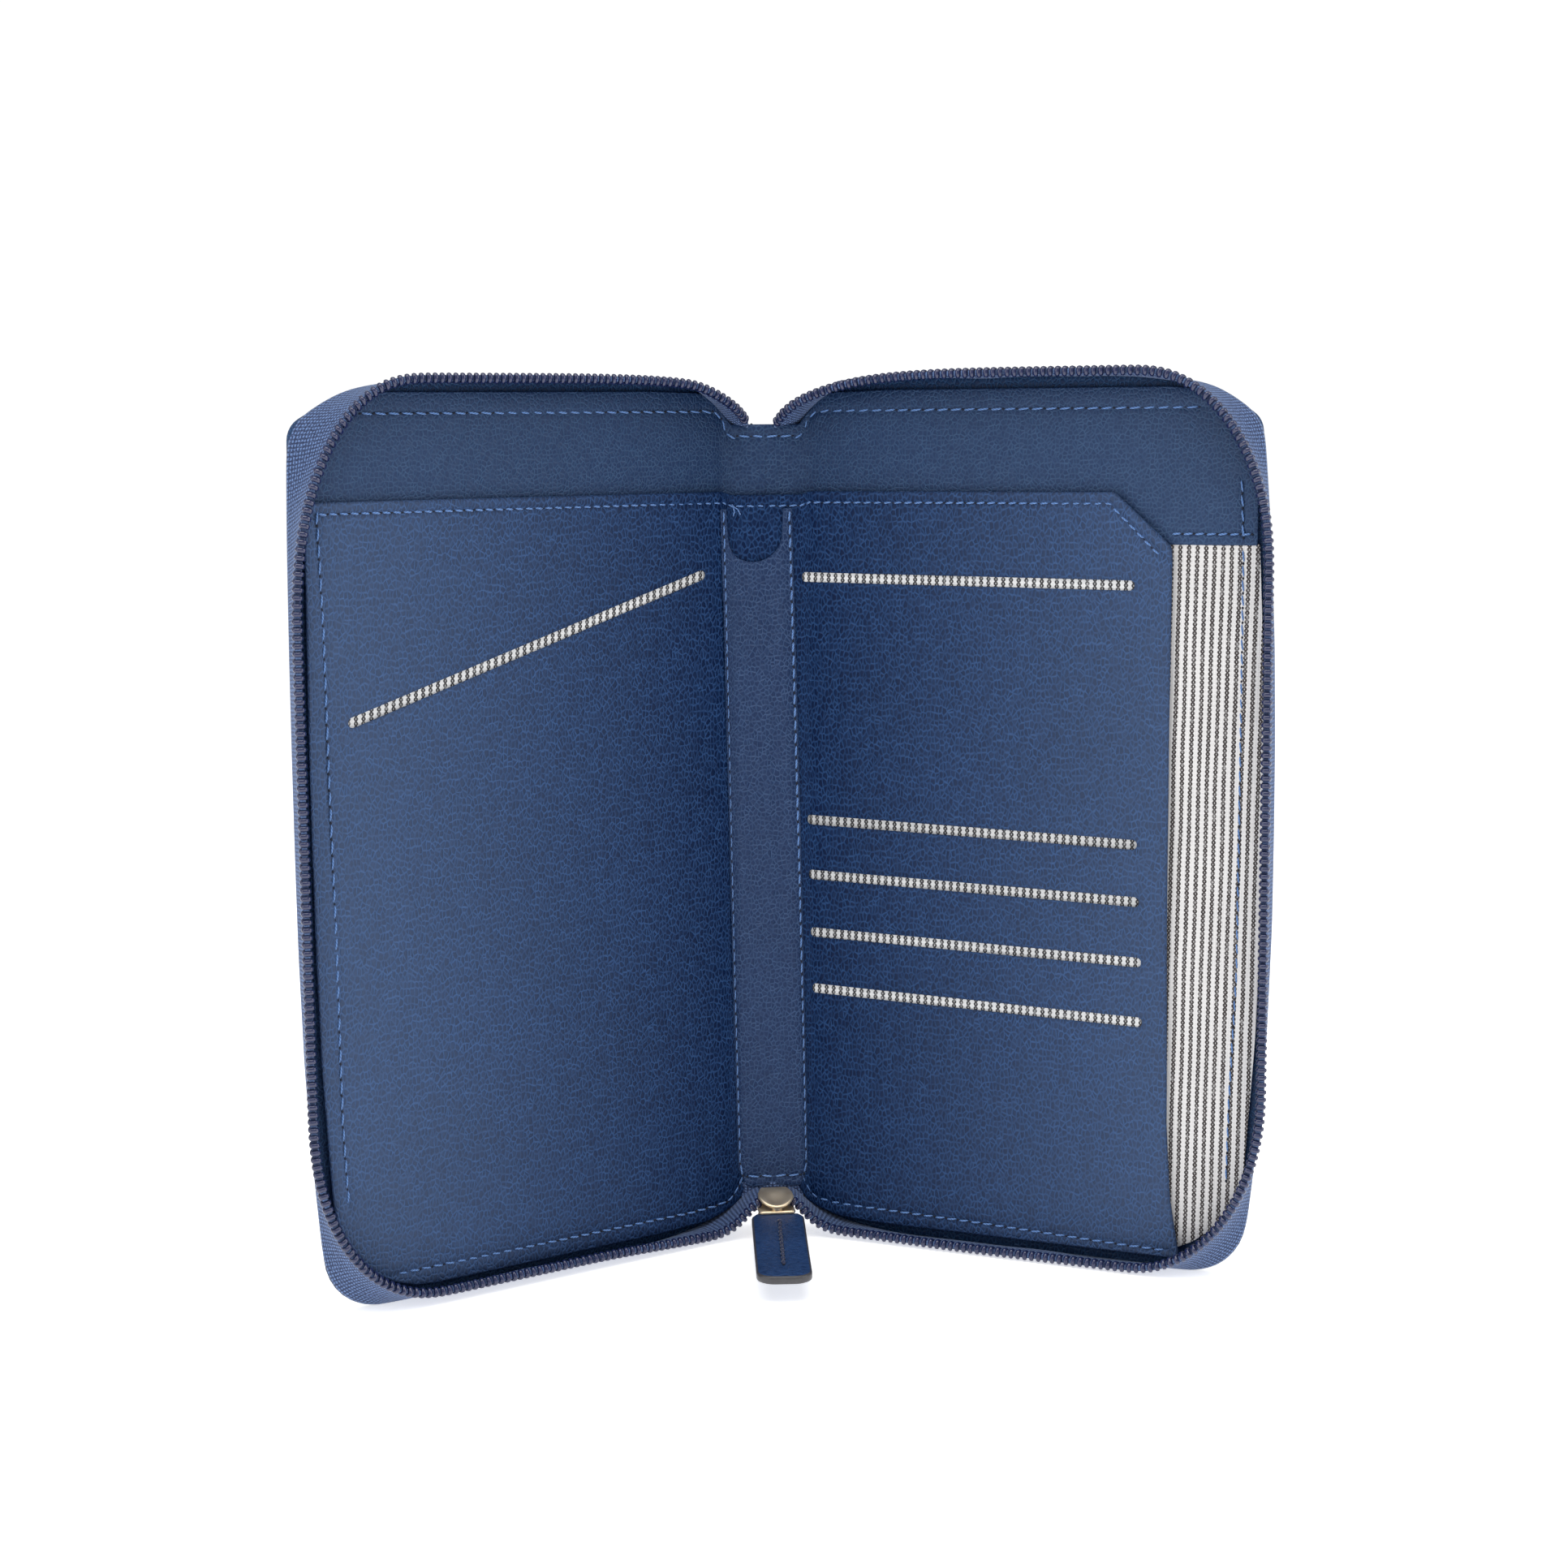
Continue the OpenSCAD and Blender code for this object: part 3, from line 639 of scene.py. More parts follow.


# Width of a pebble in the leather's grain, and the colour of the painted sheen that pales the
# leather towards its free edges
PEBBLE = 1.05
PAINTED_SHEEN = (0.5, 0.68, 1.0, 1)
LEATHER = leather("pebbled_leather", (0.0006, 0.0085, 0.042, 1), (0.0185, 0.056, 0.16, 1), 1.6,
                  pale=0.09, shine=0.1)
FACING_LEATHER = leather("facing_leather", (0.009, 0.027, 0.082, 1), (0.03, 0.068, 0.15, 1), 1.15,
                         bump=0.45, pale=0.02)
SLEEVE_LEATHER = leather("sleeve_leather", (0.009, 0.025, 0.08, 1), (0.04, 0.078, 0.175, 1), 1.25)
OUTER_LEATHER = leather("outer_leather", (0.004, 0.02, 0.072, 1), (0.022, 0.07, 0.17, 1), 1.2,
                        pale=0.03)
PULL_LEATHER = smooth_leather("pull_leather", (0.022, 0.062, 0.17, 1), (0.006, 0.024, 0.085, 1))
THREAD = thread_material("blue_thread", (0.13, 0.285, 0.62, 1), (0.05, 0.13, 0.35, 1))
NAVY_THREAD = thread_material("navy_thread", (0.01, 0.022, 0.085, 1), (0.002, 0.005, 0.03, 1))
# Near-black needle holes: painted shade in the holes.
HOLE_SHADE = mottled("needle_hole_shade", (0.002, 0.004, 0.012, 1), (0.006, 0.012, 0.035, 1), 3000.0, 2.0, 0.8)
COIL = mottled("coil_nylon", (0.004, 0.007, 0.045, 1), (0.014, 0.022, 0.09, 1), 900.0, 3.0, 0.1,
               0.12, 0.15, 0.00005, 0.8)
TAPE = tape_material()
TICKING = ticking_material("striped_lining", 0.00214, (0.8, 0.785, 0.78, 1),
                           (0.022, 0.014, 0.014, 1))
SLOT_TICKING = ticking_material("slot_lining", 0.002, (0.93, 0.93, 0.93, 1),
                                (0.02, 0.018, 0.022, 1))
GOLD = gold_material()
BOARD = mottled("fibre_board", (0.2, 0.17, 0.13, 1), (0.42, 0.38, 0.31, 1), 900.0, 6.0, 0.9,
                bump=0.4)
PAINT = mottled("edge_paint", (0.03, 0.03, 0.036, 1), (0.075, 0.072, 0.075, 1), 700.0, 3.0, 0.3,
                0.2, 0.3, 0.00015)


# ---- Leather pieces -------------------------------------------------------------------

def name_piece(nodes):
    if nodes:
        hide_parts(*nodes)


def ride(obj, body, slot, *nodes):
    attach(obj, body)
    name_piece(nodes)


def finish_piece(obj, side, slot, *nodes, bend_c=None):
    """Rides obj on its cover, or, if bend_c gives its layer, bakes its transform into its mesh
    where it stands.
    """
    if bend_c is None:
        return ride(obj, BODY[side], slot, *nodes)
    start, end = (leather_place(side)(s, 100.0, bend_c) * MM for s in (BEND_START, BEND_END))
    start[1] = end[1]
    tuple(start)
    tuple(end)
    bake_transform(obj)
    name_piece(nodes)


def sew(side, label, path, place, c, pitch, *nodes, bend_c=None, **looks):
    """A row of blue stitches on a cover."""
    name = f"{SIDE_NAME[side]}_{label}_stitches"
    row = stitches(name, path, place, c, pitch, [THREAD, HOLE_SHADE], **looks)
    finish_piece(row, side, "thread", *nodes, bend_c=bend_c)


def waviness(points, amount, seed):
    """Slow swells of soft leather, the same each run."""
    rng = np.random.default_rng(seed)
    out = np.zeros(len(points))
    for wave in (70.0, 41.0, 23.0):
        angle, phase = rng.random(2) * 2 * math.pi
        k = np.array([math.cos(angle), math.sin(angle)]) * 2 * math.pi / wave
        out += np.sin(points @ k + phase) * wave / 70.0
    return out * amount


def spine_bottom(inset):
    """Corners of an outline along the spine's bottom edge and round into a cover."""
    z0 = SPINE_Z0 + 0.1 * inset
    return [(0.0, z0, 0), (6.8 - 0.05 * inset, z0, 1.0), (9.7, 6.2 + 0.4 * inset, 5),
            (20.0, 2.0 + 0.65 * inset, 12), (34.0, inset, 25)]


def spine_top(inset):
    """The same along the top, from the cover back to the spine."""
    return [(34.0, COVER_H - 1.1 * inset, 25), (18.0 - 0.2 * inset, COVER_H - 1 - 0.95 * inset, 8),
            (11.2 - 0.1 * inset, 217.5 - 0.4 * inset, 5), (8.9, SPINE_Z1, 1.0), (0.0, SPINE_Z1, 0)]


def free_edge(side, z):
    """A cover's free edge, which its zipper draws in towards the corners."""
    low, high = EDGE_DRAW[side]
    t = (z - COVER_H / 2) / (COVER_H / 2)
    return FREE_EDGE - (high if t > 0 else low) * abs(t) ** 2.6


def free_side(side, inset, z0, z1, r0, r1):
    """Corners of an outline up a free edge from z0 to z1, with end radii r0 and r1."""
    middle = [z for z in (40, 62, 90, 113, 136, 160, 185, 200) if z0 + r0 + 3 < z < z1 - r1 - 3]
    return ([(free_edge(side, z0 + r0 / 2) - inset, z0, r0)]
            + [(free_edge(side, z) - inset, z, 60) for z in middle]
            + [(free_edge(side, z1 - r1 / 2) - inset, z1, r1)])


def shell_outline(side, inset=0.0):
    """The outer leather's outline, with full corners that the zipper stands inside."""
    corner = [(FOLD_X + 108.0, 222.8 - inset, 18), (FOLD_X + 88.0, COVER_H - 0.6 - inset, 60)]
    return outline(spine_bottom(inset) + free_side(side, inset, inset, 214.5, 15 - inset, 6)
                   + corner + spine_top(inset))


def outer_shell(side):
    """The outer leather: one half of the skin that wraps both covers and the spine."""
    name = SIDE_NAME[side]
    inner_place = leather_place(side)
    # The seam round the outside that holds the zipper tape
    seam = shell_outline(side, 3.3)
    seam = seam[seam[:, 0] > 1.5]

    def place(s, z, h):
        return inner_place(s, z, SHELL_T - h)

    def relief(p):
        return groove(p, seam, 0.25) + waviness(p, 0.06, 3 + side)
    obj = thick_piece(name + "_outer_leather", shell_outline(side, 0.1), place, 0.0, SHELL_T,
                      [OUTER_LEATHER], spacing=3.0, rim=0.5, relief=relief,
                      supports=[seam_supports(seam, 2.0)], side=side)
    nodes = ["right_shell", "spine_shell"] if side > 0 else ["left_shell"]
    finish_piece(obj, side, "leather", *nodes, bend_c=0.6)
    sew(side, "outer", seam, place, SHELL_T, 3.4, bend_c=0.0)


def facing(side):
    """Leather facing above the pockets, with its half of the spine's lining."""
    name = SIDE_NAME[side]
    place = leather_place(side)
    bottom, top_z = 183.8, 217.3
    outer = free_edge(side, 195) - 1.9
    edge = outline([(0, bottom, 0), (outer, bottom, 0.4), (outer, 199, 25),
                    (free_edge(side, 212) - 3.0, 222.4, 22)] + spine_top(3.2))
    top_seam = [(0.0, 210.9), (9.0, 211.0), (10.6, 212.6), (11.8, 215.4), (14.2, 216.9),
                (17.0, top_z), (118.0 if side < 0 else 116.5, top_z)]
    side_seam = [(126.6, 200.0), (127.2, bottom)]
    hem_seam = [(109.0, bottom + 2.7), (outer - 0.3, bottom + 2.7)]
    seams = [top_seam] + ([side_seam, hem_seam] if side > 0 else [])
    top_edge = np.array([(0.0, SPINE_Z1), (8.0, SPINE_Z1)])

    def relief(p):
        h = waviness(p, 0.14, 11 + side)
        h += 0.5 * np.exp(-((path_distance(p, top_edge) - 1.3) / 1.1) ** 2)
        # Soft folds where the leather turns from the cover to the spine
        crease = np.exp(-((p[:, 0] - 9.5 - 0.06 * (p[:, 1] - 200)) / 1.6) ** 2) * (p[:, 1] > 192)
        h += 0.28 * crease * smooth((p[:, 1] - 192) / 14) * (1 if side > 0 else 0.4)
        return h + sum(groove(p, seam) for seam in seams)
    obj = thick_piece(name + "_facing_leather", edge, place, LINING_C, FACE_C, [FACING_LEATHER],
                      spacing=2.2, rim=0.3, relief=relief,
                      supports=[seam_supports(seam) for seam in seams], side=side)
    finish_piece(obj, side, "leather", name + "_facing", bend_c=2.7)
    top_nodes = [name + "_top_seam"] + (["spine_top_seam"] if side > 0 else [])
    sew(side, "top", top_seam, place, FACE_C, 3.6, *top_nodes, bend_c=3.0)
    if side > 0:
        sew(side, "side", side_seam, place, FACE_C, 3.6, bend_c=3.0)
        sew(side, "facing_hem", hem_seam, place, FACE_C, 2.9, "right_facing_seam", bend_c=3.0)


def spine_lining(side):
    """The leather behind the pen sleeve, down to the bottom edge of the spine."""
    z0, z1 = SPINE_Z0 + 0.4, 183.5
    edge = outline([(0, z0, 0), (6.6, z0, 0.8), (9.0, 9.5, 2), (12.5, 8.5, 0.5), (12.5, z1, 0),
                    (0, z1, 0)])
    obj = thick_piece(SIDE_NAME[side] + "_spine_lining", edge, leather_place(side), 1.9, 2.35,
                      [FACING_LEATHER], spacing=3.0, rim=0.2, side=side)
    finish_piece(obj, side, "leather", *(["spine_lining"] if side > 0 else []), bend_c=2.2)


def slot_emboss(p, slot):
    """The leather is pressed down along a slot's lips, inside a faint raised line."""
    d = loop_distance(p, slot)
    return 0.16 * np.exp(-((d - 1.7) / 0.7) ** 2) - 0.22 * np.exp(-(d / 0.8) ** 2)


def slot_supports(slot):
    n = loop_normals(slot, True)
    return np.vstack([slot + n * d for d in (0.9, 1.5, 2.1)])


def bottom_path(rest):
    """The seam under a pocket panel, from the spine's corner out through the rest."""
    return [(7.9, 15.4), (8.6, 13.4), (10.6, 10.6), (13.4, 8.9), (18.0, 8.0), (26.0, 7.6)] + rest


def pocket_panel(side, top, rest, hem_rest, seam_rest, seams, slots, seed, *nodes, ridge=None):
    """A pocket panel with slots through to their linings. Its hem dips at the spine. rest is its
    outline between the spine's two ends, and hem_rest and seam_rest lead the hem and its row
    on. seams gives the other rows' paths and pitches, and ridge is an edge that is raised."""
    name = SIDE_NAME[side]
    place = leather_place(side)
    dip = POCKET_TOP - 1.1
    edge = outline(spine_bottom(3.6) + rest + [(13.0, top, 3), (9.0, dip, 3), (0, dip, 0)])
    hem = [(0.0, dip), (9.0, dip), (13.0, top)]
    seams = {"hem": ([(s, z - HEM_SEAM) for s, z in hem] + seam_rest, 2.8), **seams}
    paths = [path for path, _ in seams.values()]
    hem += hem_rest

    def relief(p):
        h = waviness(p, 0.16, seed) + 0.75 * np.exp(-((path_distance(p, hem) - 1.4) / 1.25) ** 4)
        if ridge:
            h += 0.3 * np.exp(-((path_distance(p, ridge) - 1.6) / 1.7) ** 2)
        for slot in slots:
            h += slot_emboss(p, slot)
        return h + sum(groove(p, path) for path in paths)
    supports = ([seam_supports(path) for path in paths]
                + [seam_supports(hem, 2.0, (-2.8, -2.2, -1.4, -0.8))]
                + [slot_supports(slot) for slot in slots])
    obj = thick_piece(name + "_pocket_leather", edge, place, PANEL_C, SURFACE_C, [LEATHER],
                      holes=slots, relief=relief, rim=0.45, supports=supports, side=side)
    finish_piece(obj, side, "leather", name + "_pocket_panel", *nodes, bend_c=4.2)
    for label, (path, pitch) in seams.items():
        sew(side, label, path, place, SURFACE_C, pitch, f"{name}_{label}_seam", bend_c=SURFACE_C,
            height=-0.1 if label == "hem" else -0.2)


def left_panel():
    """Full-width pocket panel with one slanted slot."""
    top = POCKET_TOP - 0.2
    outer = free_edge(-1, top) - 2.6
    edge_seam = [(128.8, top - HEM_SEAM + 1.2), (128.0, 167.0), (127.7, 133.0), (127.1, 95.0),
                 (126.8, 48.0), (125.8, 26.0)]
    pocket_panel(-1, top, free_side(-1, 2.6, 3.6, top, 27, 0.5), [(outer, top)],
                 [(outer - 1.0, top - HEM_SEAM)],
                 {"edge": (edge_seam, 3.9), "bottom": (bottom_path([(116.5, 7.9)]), 3.3)},
                 [slot_outline(SLANT_HIGH, SLANT_LOW, SLOT_H)], 5)
    loose_end("left_thread_tail_1", [(9.4, 193.5), (8.6, 191.9), (8.9, 190.6)])
    loose_end("left_thread_tail_2", [(9.2, 193.2), (7.6, 192.3), (6.9, 190.9)])


def loose_end(name, path):
    """A short cut end of thread, standing off the leather."""
    fine, _, at = resample(path, 0.3)
    r, sides = 0.16, 7
    lift = 0.25 + 0.5 * np.sin(math.pi * at / at[-1])
    line = leather_place(-1)(fine[:, 0], fine[:, 1], SLEEVE_TOP_C + lift)
    t = unit(np.gradient(line, axis=0))
    a = unit(np.cross(t, [0.3, 0.2, 0.9]))
    uvs = [(i * 0.3, k / sides * 6.28 * r) for i in range(len(line)) for k in range(sides)]
    obj = strand(name, line, r * a, r * np.cross(t, a), sides, THREAD, np.array(uvs) * MM)
    finish_piece(obj, -1, "thread", bend_c=SURFACE_C)


def right_panel():
    """Pocket panel with five card slots, a cut-off corner and a free outer edge."""
    top = POCKET_TOP - 0.3
    corner_1, corner_2 = (95.2, top), (109.9, 183.4)
    free = [(113.6, 3.6), (111.0, 19.0), (109.9, 38.0), (109.5, 80.0), (109.5, 140.0), corner_2]
    rest = ([(s, z, 0.5 if z < 4 else 30) for s, z in free[:-1]]
            + [(*corner_2, 2.5), (*corner_1, 2.5)])
    pocket_panel(1, top, rest, [corner_1, corner_2],
                 [(corner_1[0] - 1.4, top - HEM_SEAM), (corner_2[0] - 1.4, corner_2[1] - 3.9)],
                 {"bottom": (bottom_path([(60.0, 6.9), (99.0, 5.6), (112.0, 5.4)]), 3.3)},
                 [slot_outline(a, b, SLOT_H) for a, b in CARD_SLOTS], 9, "pocket_bridge",
                 ridge=free)


def pen_sleeve(side):
    """Half of the pen sleeve, with its share of the round notch in the mouth."""
    half, seam_s, spread = 9.9, 9.1, 0.7
    notch_r, notch_z = 7.7, 186.4
    z0, z1 = SPINE_Z0 + 0.4, POCKET_TOP - 4.6
    place = leather_place(side, sleeve_lean)
    edge = outline([(0, z0, 0), (7.0, z0, 1.0), (half, z0 + 5, 4), (half + spread, z1, 0.5),
                    (notch_r + 0.4, z1, 0.5)]
                   + [(s, z, 0) for s, z in arc_points(0.0, notch_z, notch_r, 0, -90, 12)])
    seam = [(seam_s + spread, z1 - 0.4), (seam_s, z0 + 6.0), (seam_s - 0.9, z0 + 2.9)]
    bottom = [(0.0, z0 + 2.9), (7.8, z0 + 2.9)]

    def relief(p):
        wander = 0.35 * np.sin(p[:, 1] * 0.045)
        crease = 0.3 * np.cos((p[:, 0] * side + wander) * 0.9 - 0.9) * smooth((p[:, 1] - 40) / 60)
        fade = smooth((seam_s - np.abs(p[:, 0])) / 3.0) * smooth((p[:, 1] - z0 - 3) / 6)
        h = (crease + 0.35) * fade + waviness(p, 0.08, 21)
        return h + groove(p, seam, 0.4) + groove(p, bottom, 0.4)
    obj = thick_piece(SIDE_NAME[side] + "_pen_sleeve", edge, place, SLEEVE_C, SLEEVE_TOP_C,
                      [SLEEVE_LEATHER], spacing=1.5, rim=0.4, relief=relief,
                      supports=[seam_supports(seam), seam_supports(bottom)], side=side)
    sleeve, hem = (["pen_sleeve"], ["spine_bottom_seam"]) if side > 0 else ([], [])
    finish_piece(obj, side, "leather", *sleeve, bend_c=5.2)
    sew(side, "sleeve", seam, place, SLEEVE_TOP_C, 3.4, f"sleeve_{SIDE_NAME[side]}_seam",
        bend_c=SLEEVE_TOP_C, slant=-0.1 * side)
    sew(side, "spine_bottom", bottom, place, SLEEVE_TOP_C, 3.6, *hem, bend_c=SLEEVE_TOP_C)


# ---- Linings --------------------------------------------------------------------------

def cloth(name, edge, c0, c1, mat, side, node, size, on, bend_c=None, **how):
    """A stretched lining, drawn as a thin piece on its cover; size = (width, length, area) has no
    effect, and on is not used.
    """
    obj = thick_piece(name, edge, leather_place(side), c0, c1, [mat], **how)
    finish_piece(obj, side, "ticking", node, bend_c=bend_c)
    width, length, area = size
    area and area * MM * MM


def lining(side):
    """Striped lining under a cover's pockets."""
    name = SIDE_NAME[side]
    shown = side > 0
    start, top = FOLD_X + 1.2, 184.2
    inset = 2.1 if shown else 3.4
    edge = outline([(start, 6.0, 5)] + free_side(side, inset, inset + 1.5, top, 27, 0.4)
                   + [(start, top, 0.4)])
    seam = [(127.2, 183.0), (127.1, 130.0), (126.9, 78.0), (125.4, 45.0), (124.9, 24.0)]
    relief = (lambda p: groove(p, seam, 0.15, 0.6) + waviness(p, 0.1, 2)) if shown else None
    size = (free_edge(side, 113) - inset - start, top - inset - 1.5, polygon_area(edge))
    cloth(name + "_striped_lining", edge, LINING_C + 0.05, LINING_C + 0.35, TICKING, side,
          name + "_lining", size, name + "_board", spacing=4.0, rim=0.1, relief=relief,
          uv_turn=0.02, supports=[seam_supports(seam, 3.0, (-0.8, 0.0, 0.8))] if shown else [])
    if shown:
        sew(1, "lining", seam, leather_place(1), LINING_C + 0.35, 3.6, "right_lining_seam",
            height=-0.05, r=0.22)


def card_pocket(number):
    """The lining that shows behind card slot number, counted from the top."""
    (s0, z0), (s1, z1) = CARD_SLOTS[number - 1]
    c = FACE_C + 0.04 + (3 if number == 1 else number - 2) * 0.15
    start, end, bottom, top = s0 - 1.0, s1 + 1.0, max(z1 - 54.0, 10.0), max(z0, z1) + 4
    cloth(f"card_lining_{number}", outline(box(start, bottom, end, top, 0.5), 4.0), c, c + 0.12,
          SLOT_TICKING, 1, f"card_pocket_{number}", (end - start, top - bottom, None),
          "right_pocket_leather", bend_c=c, spacing=6.0, rim=0.05, uv_turn=0.03)


def slanted_pocket():
    """The lining that shows behind the left cover's slanted slot."""
    (s0, z0), (s1, z1), bottom = SLANT_HIGH, SLANT_LOW, 60
    edge = outline([(s0 - 3, bottom, 0.5), (s1 + 1, bottom, 0.5), (s1 + 1, z1 + 5, 0.5),
                    (s0 - 3, z0 + 5, 0.5)], 4.0)
    cloth("slanted_slot_lining", edge, 3.3, 3.5, SLOT_TICKING, -1, "left_slot_pocket",
          (s1 - s0 + 4, z0 + 5 - bottom, polygon_area(edge)), "left_pocket_leather",
          spacing=6.0, rim=0.05, uv_turn=-0.05)


# ---- Zipper ---------------------------------------------------------------------------

def corner_curve(corner, count=31):
    """Quarter of a rounded corner, from (0, 0) to (1, 1), as shares of its width and height."""
    n = corner[2]
    t = np.linspace(0, math.pi / 2, count)
    return np.sin(t) ** (2 / n), 1 - np.cos(t) ** (2 / n)


def zipper_lines(side):
    """Matching points, at even steps, on the tape's sewn edge and on the coil, in mm at rest."""
    edge = FOLD_X + COIL_EDGE[side]
    bottom = COIL_BOTTOM[side]
    top_in, top_out = COIL_TOP[side]
    bw, bh, _ = BOTTOM_CORNER[side]
    tw, th, _ = TOP_CORNER[side]
    # The coil on the cover, as (s, z), in five runs from the slider round to the tail
    counts = (40, 31, 60, 31, 40)
    first_s, first_z, last_s = 20, 2.2, 24
    run = np.linspace(0, 1, counts[0])
    low_s, low_z = corner_curve(BOTTOM_CORNER[side])
    top_s, top_z = corner_curve(TOP_CORNER[side])
    runs = [(first_s + run * (edge - bw - first_s), first_z + (bottom - first_z) * smooth(run * 2)),
            (edge - bw + bw * low_s, bottom + bh * low_z),
            (np.full(counts[2], edge), np.linspace(bottom + bh, top_out - th, counts[2])),
            ((edge - tw + tw * top_s)[::-1], (top_out - th * top_z)[::-1]),
            ((last_s + run * (edge - tw - last_s))[::-1],
             (top_in + (top_out - top_in) * (1 - (1 - run) ** 6))[::-1])]
    coil_sz = np.vstack([np.stack(part, 1)[min(i, 1):] for i, part in enumerate(runs)])
    # ... and the same runs of the sewn edge
    sewn = shell_outline(side)

    def nearest(s, z, weight):
        return np.argmin(np.abs(sewn[:, 0] - s) + weight * np.abs(sewn[:, 1] - z))

    def beside(z):
        return np.argmin(np.abs(sewn[:, 1] - z) + (sewn[:, 0] < 100) * 1e3)
    ends = [nearest(first_s, 2, 3), nearest(edge - bw, 0, 1), beside(bottom + bh),
            beside(top_out - th), nearest(edge - tw, COVER_H, 1), nearest(last_s - 2, COVER_H, 3)]
    base_sz = np.vstack([shared_run(sewn[a:b + 1], n)[min(i, 1):]
                         for i, (a, b, n) in enumerate(zip(ends, ends[1:], counts))])
    # Into the slider's mouth at the bottom, and down to the spine's corner at the top
    tail = np.array(COIL_TAIL[side])
    tip = np.vstack([[(x, Y0 - y, z) for x, z, y in MOUTH],
                     leather_place(1)(coil_sz[:, 0], coil_sz[:, 1], COIL_C),
                     on_cover(tail[:, 0], tail[:, 1], COIL_C), COIL_TUCK[side]])
    base_sz = np.vstack([MOUTH_BASE, base_sz, TAIL_BASE])
    pair = np.hstack([tip, leather_place(1)(base_sz[:, 0], base_sz[:, 1], BASE_C)])
    for _ in range(4):
        pair[1:-1] = (pair[:-2] + 2 * pair[1:-1] + pair[2:]) / 4
    along = lengths(pair[:, :3])
    at = np.arange(0, along[-1], LINE_STEP)
    even = between(at, along, pair) * np.array([side, 1, 1] * 2)
    return even[:, :3], even[:, 3:], at


def zipper_frames(tip, base):
    """Unit vectors along the coil, across the tape's face and up the tape."""
    tangent = unit(np.gradient(tip, axis=0))
    up = tip - base
    up = unit(up - np.sum(up * tangent, 1)[:, None] * tangent)
    return tangent, np.cross(tangent, up), up


def tape(side):
    """The woven tape, standing up from the cover's edge and round the back of the coil."""
    tip, base, at = (field[::2] for field in zipper_lines(side))
    _, across, up = zipper_frames(tip, base)
    outward = across * -side
    width = np.linalg.norm(tip - base, axis=1)
    full = 0.35 + 0.06 * np.maximum(0, width - 9.3)
    rng = np.random.default_rng(31 + side)
    # The tape bulges, more so where it is wide, and wanders a little
    drift = sum(np.sin(at / wave * 6.28 + rng.random() * 6.28) * 0.12
                for wave in (23.0, 41.0, 67.0))
    n, rows = len(at), 16
    front, back, uvs = [], [], []
    for v in np.linspace(0, 1, rows):
        bulge = full * math.sin(math.pi * min(1, v * 1.05)) + drift * math.sin(math.pi * v)
        middle = base + (tip + up * 0.25 - base) * v + outward * bulge[:, None]
        # The woven edge swells into a cord that fills the coil
        half = (0.36 + 0.5 * np.clip((v - 0.84) / 0.1, 0, 1)
                - 0.35 * np.clip((v - 0.97) / 0.03, 0, 1))
        front.append(middle + outward * half)
        back.append(middle - outward * half)
        uvs.append(np.stack([at, v * width], 1))
    m = 2 * rows
    faces = [(j * n + i, j * n + i + 1, (j + 1) % m * n + i + 1, (j + 1) % m * n + i)
             for j in range(m) for i in range(n - 1)]
    faces += [(j * n + i, (j + 1) * n + i, (m - 2 - j) * n + i, (m - 1 - j) * n + i)
              for i in (0, n - 1) for j in range(rows - 1)]
    obj = make_object(SIDE_NAME[side] + "_tape", np.vstack(front + back[::-1]), faces,
                      np.vstack(uvs + uvs[::-1]) * MM, [TAPE])
    zip_ride(fix_normals(obj), side, "tape")


def coil(side):
    """One half of the coil zipper: a flattened spiral whose turns are the teeth.
    Each turn crosses to the next one on the tape's side, so its head stands square."""
    tip, base, at = zipper_lines(side)
    turns = int(at[-1] / TOOTH_PITCH) - 1
    per_turn, sides = 18, 8
    # Half sizes of a turn, and of its strand and the strand's pressed head
    half_w, half_h = 0.92, 0.7
    strand_half, flat_half, head_half = 0.42, 0.56, 0.64
    turn = np.arange(turns * per_turn + 1) / per_turn
    t = turn % 1.0
    forward = np.floor(turn) + t + 4 / 3 * np.sin(2 * math.pi * t) / (2 * math.pi) \
        + np.sin(4 * math.pi * t) / (12 * math.pi)
    along = np.clip(TOOTH_PITCH * (forward + 0.4), 0, at[-1])
    centre, d, a, u = (between(along, at, field) for field in (tip, *zipper_frames(tip, base)))
    sine, cosine = np.sin(2 * math.pi * t)[:, None], -np.cos(2 * math.pi * t)[:, None]
    square = [np.sign(wave) * np.abs(wave) ** 0.75 for wave in (sine, cosine)]
    line = centre + a * (half_w * square[0]) + u * (half_h * square[1])
    # Heads are pressed wider along the zipper
    wide = flat_half + (head_half - flat_half) * np.clip(cosine, 0, 1)
    out = strand_half * unit(a * sine + u * cosine)
    zip_ride(strand(SIDE_NAME[side] + "_coil", line, out, wide * d, sides, COIL), side, "coil")


def zip_ride(obj, side, part):
    """Bakes the zipper part's transform into its mesh, where it stands at rest, and hides its CAD
    nodes.
    """
    y, name = FOLD_Y * MM, SIDE_NAME[side]
    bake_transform(obj)
    name_piece([f"{name}_zipper_{part}", f"{name}_{part}_ends"])


# ---- Slider and pull ------------------------------------------------------------------

def slider_plate(name, corners, z0, z1, rim, *nodes, droop=None):
    """One flat part of the slider. droop gives how far it is bent down at (x, y)."""
    def place(x, y, c):
        return flat_place(x, y, z0 + z1 - c - (droop(x, y) if droop else 0.0))
    edge = outline([(x, Y0 + y, r) for x, y, r in corners], 1.0, 10.0)
    obj = thick_piece(name, edge, place, z0, z1, [GOLD], spacing=1.0, rim=rim)
    ride(obj, "spine", "metal", *nodes)


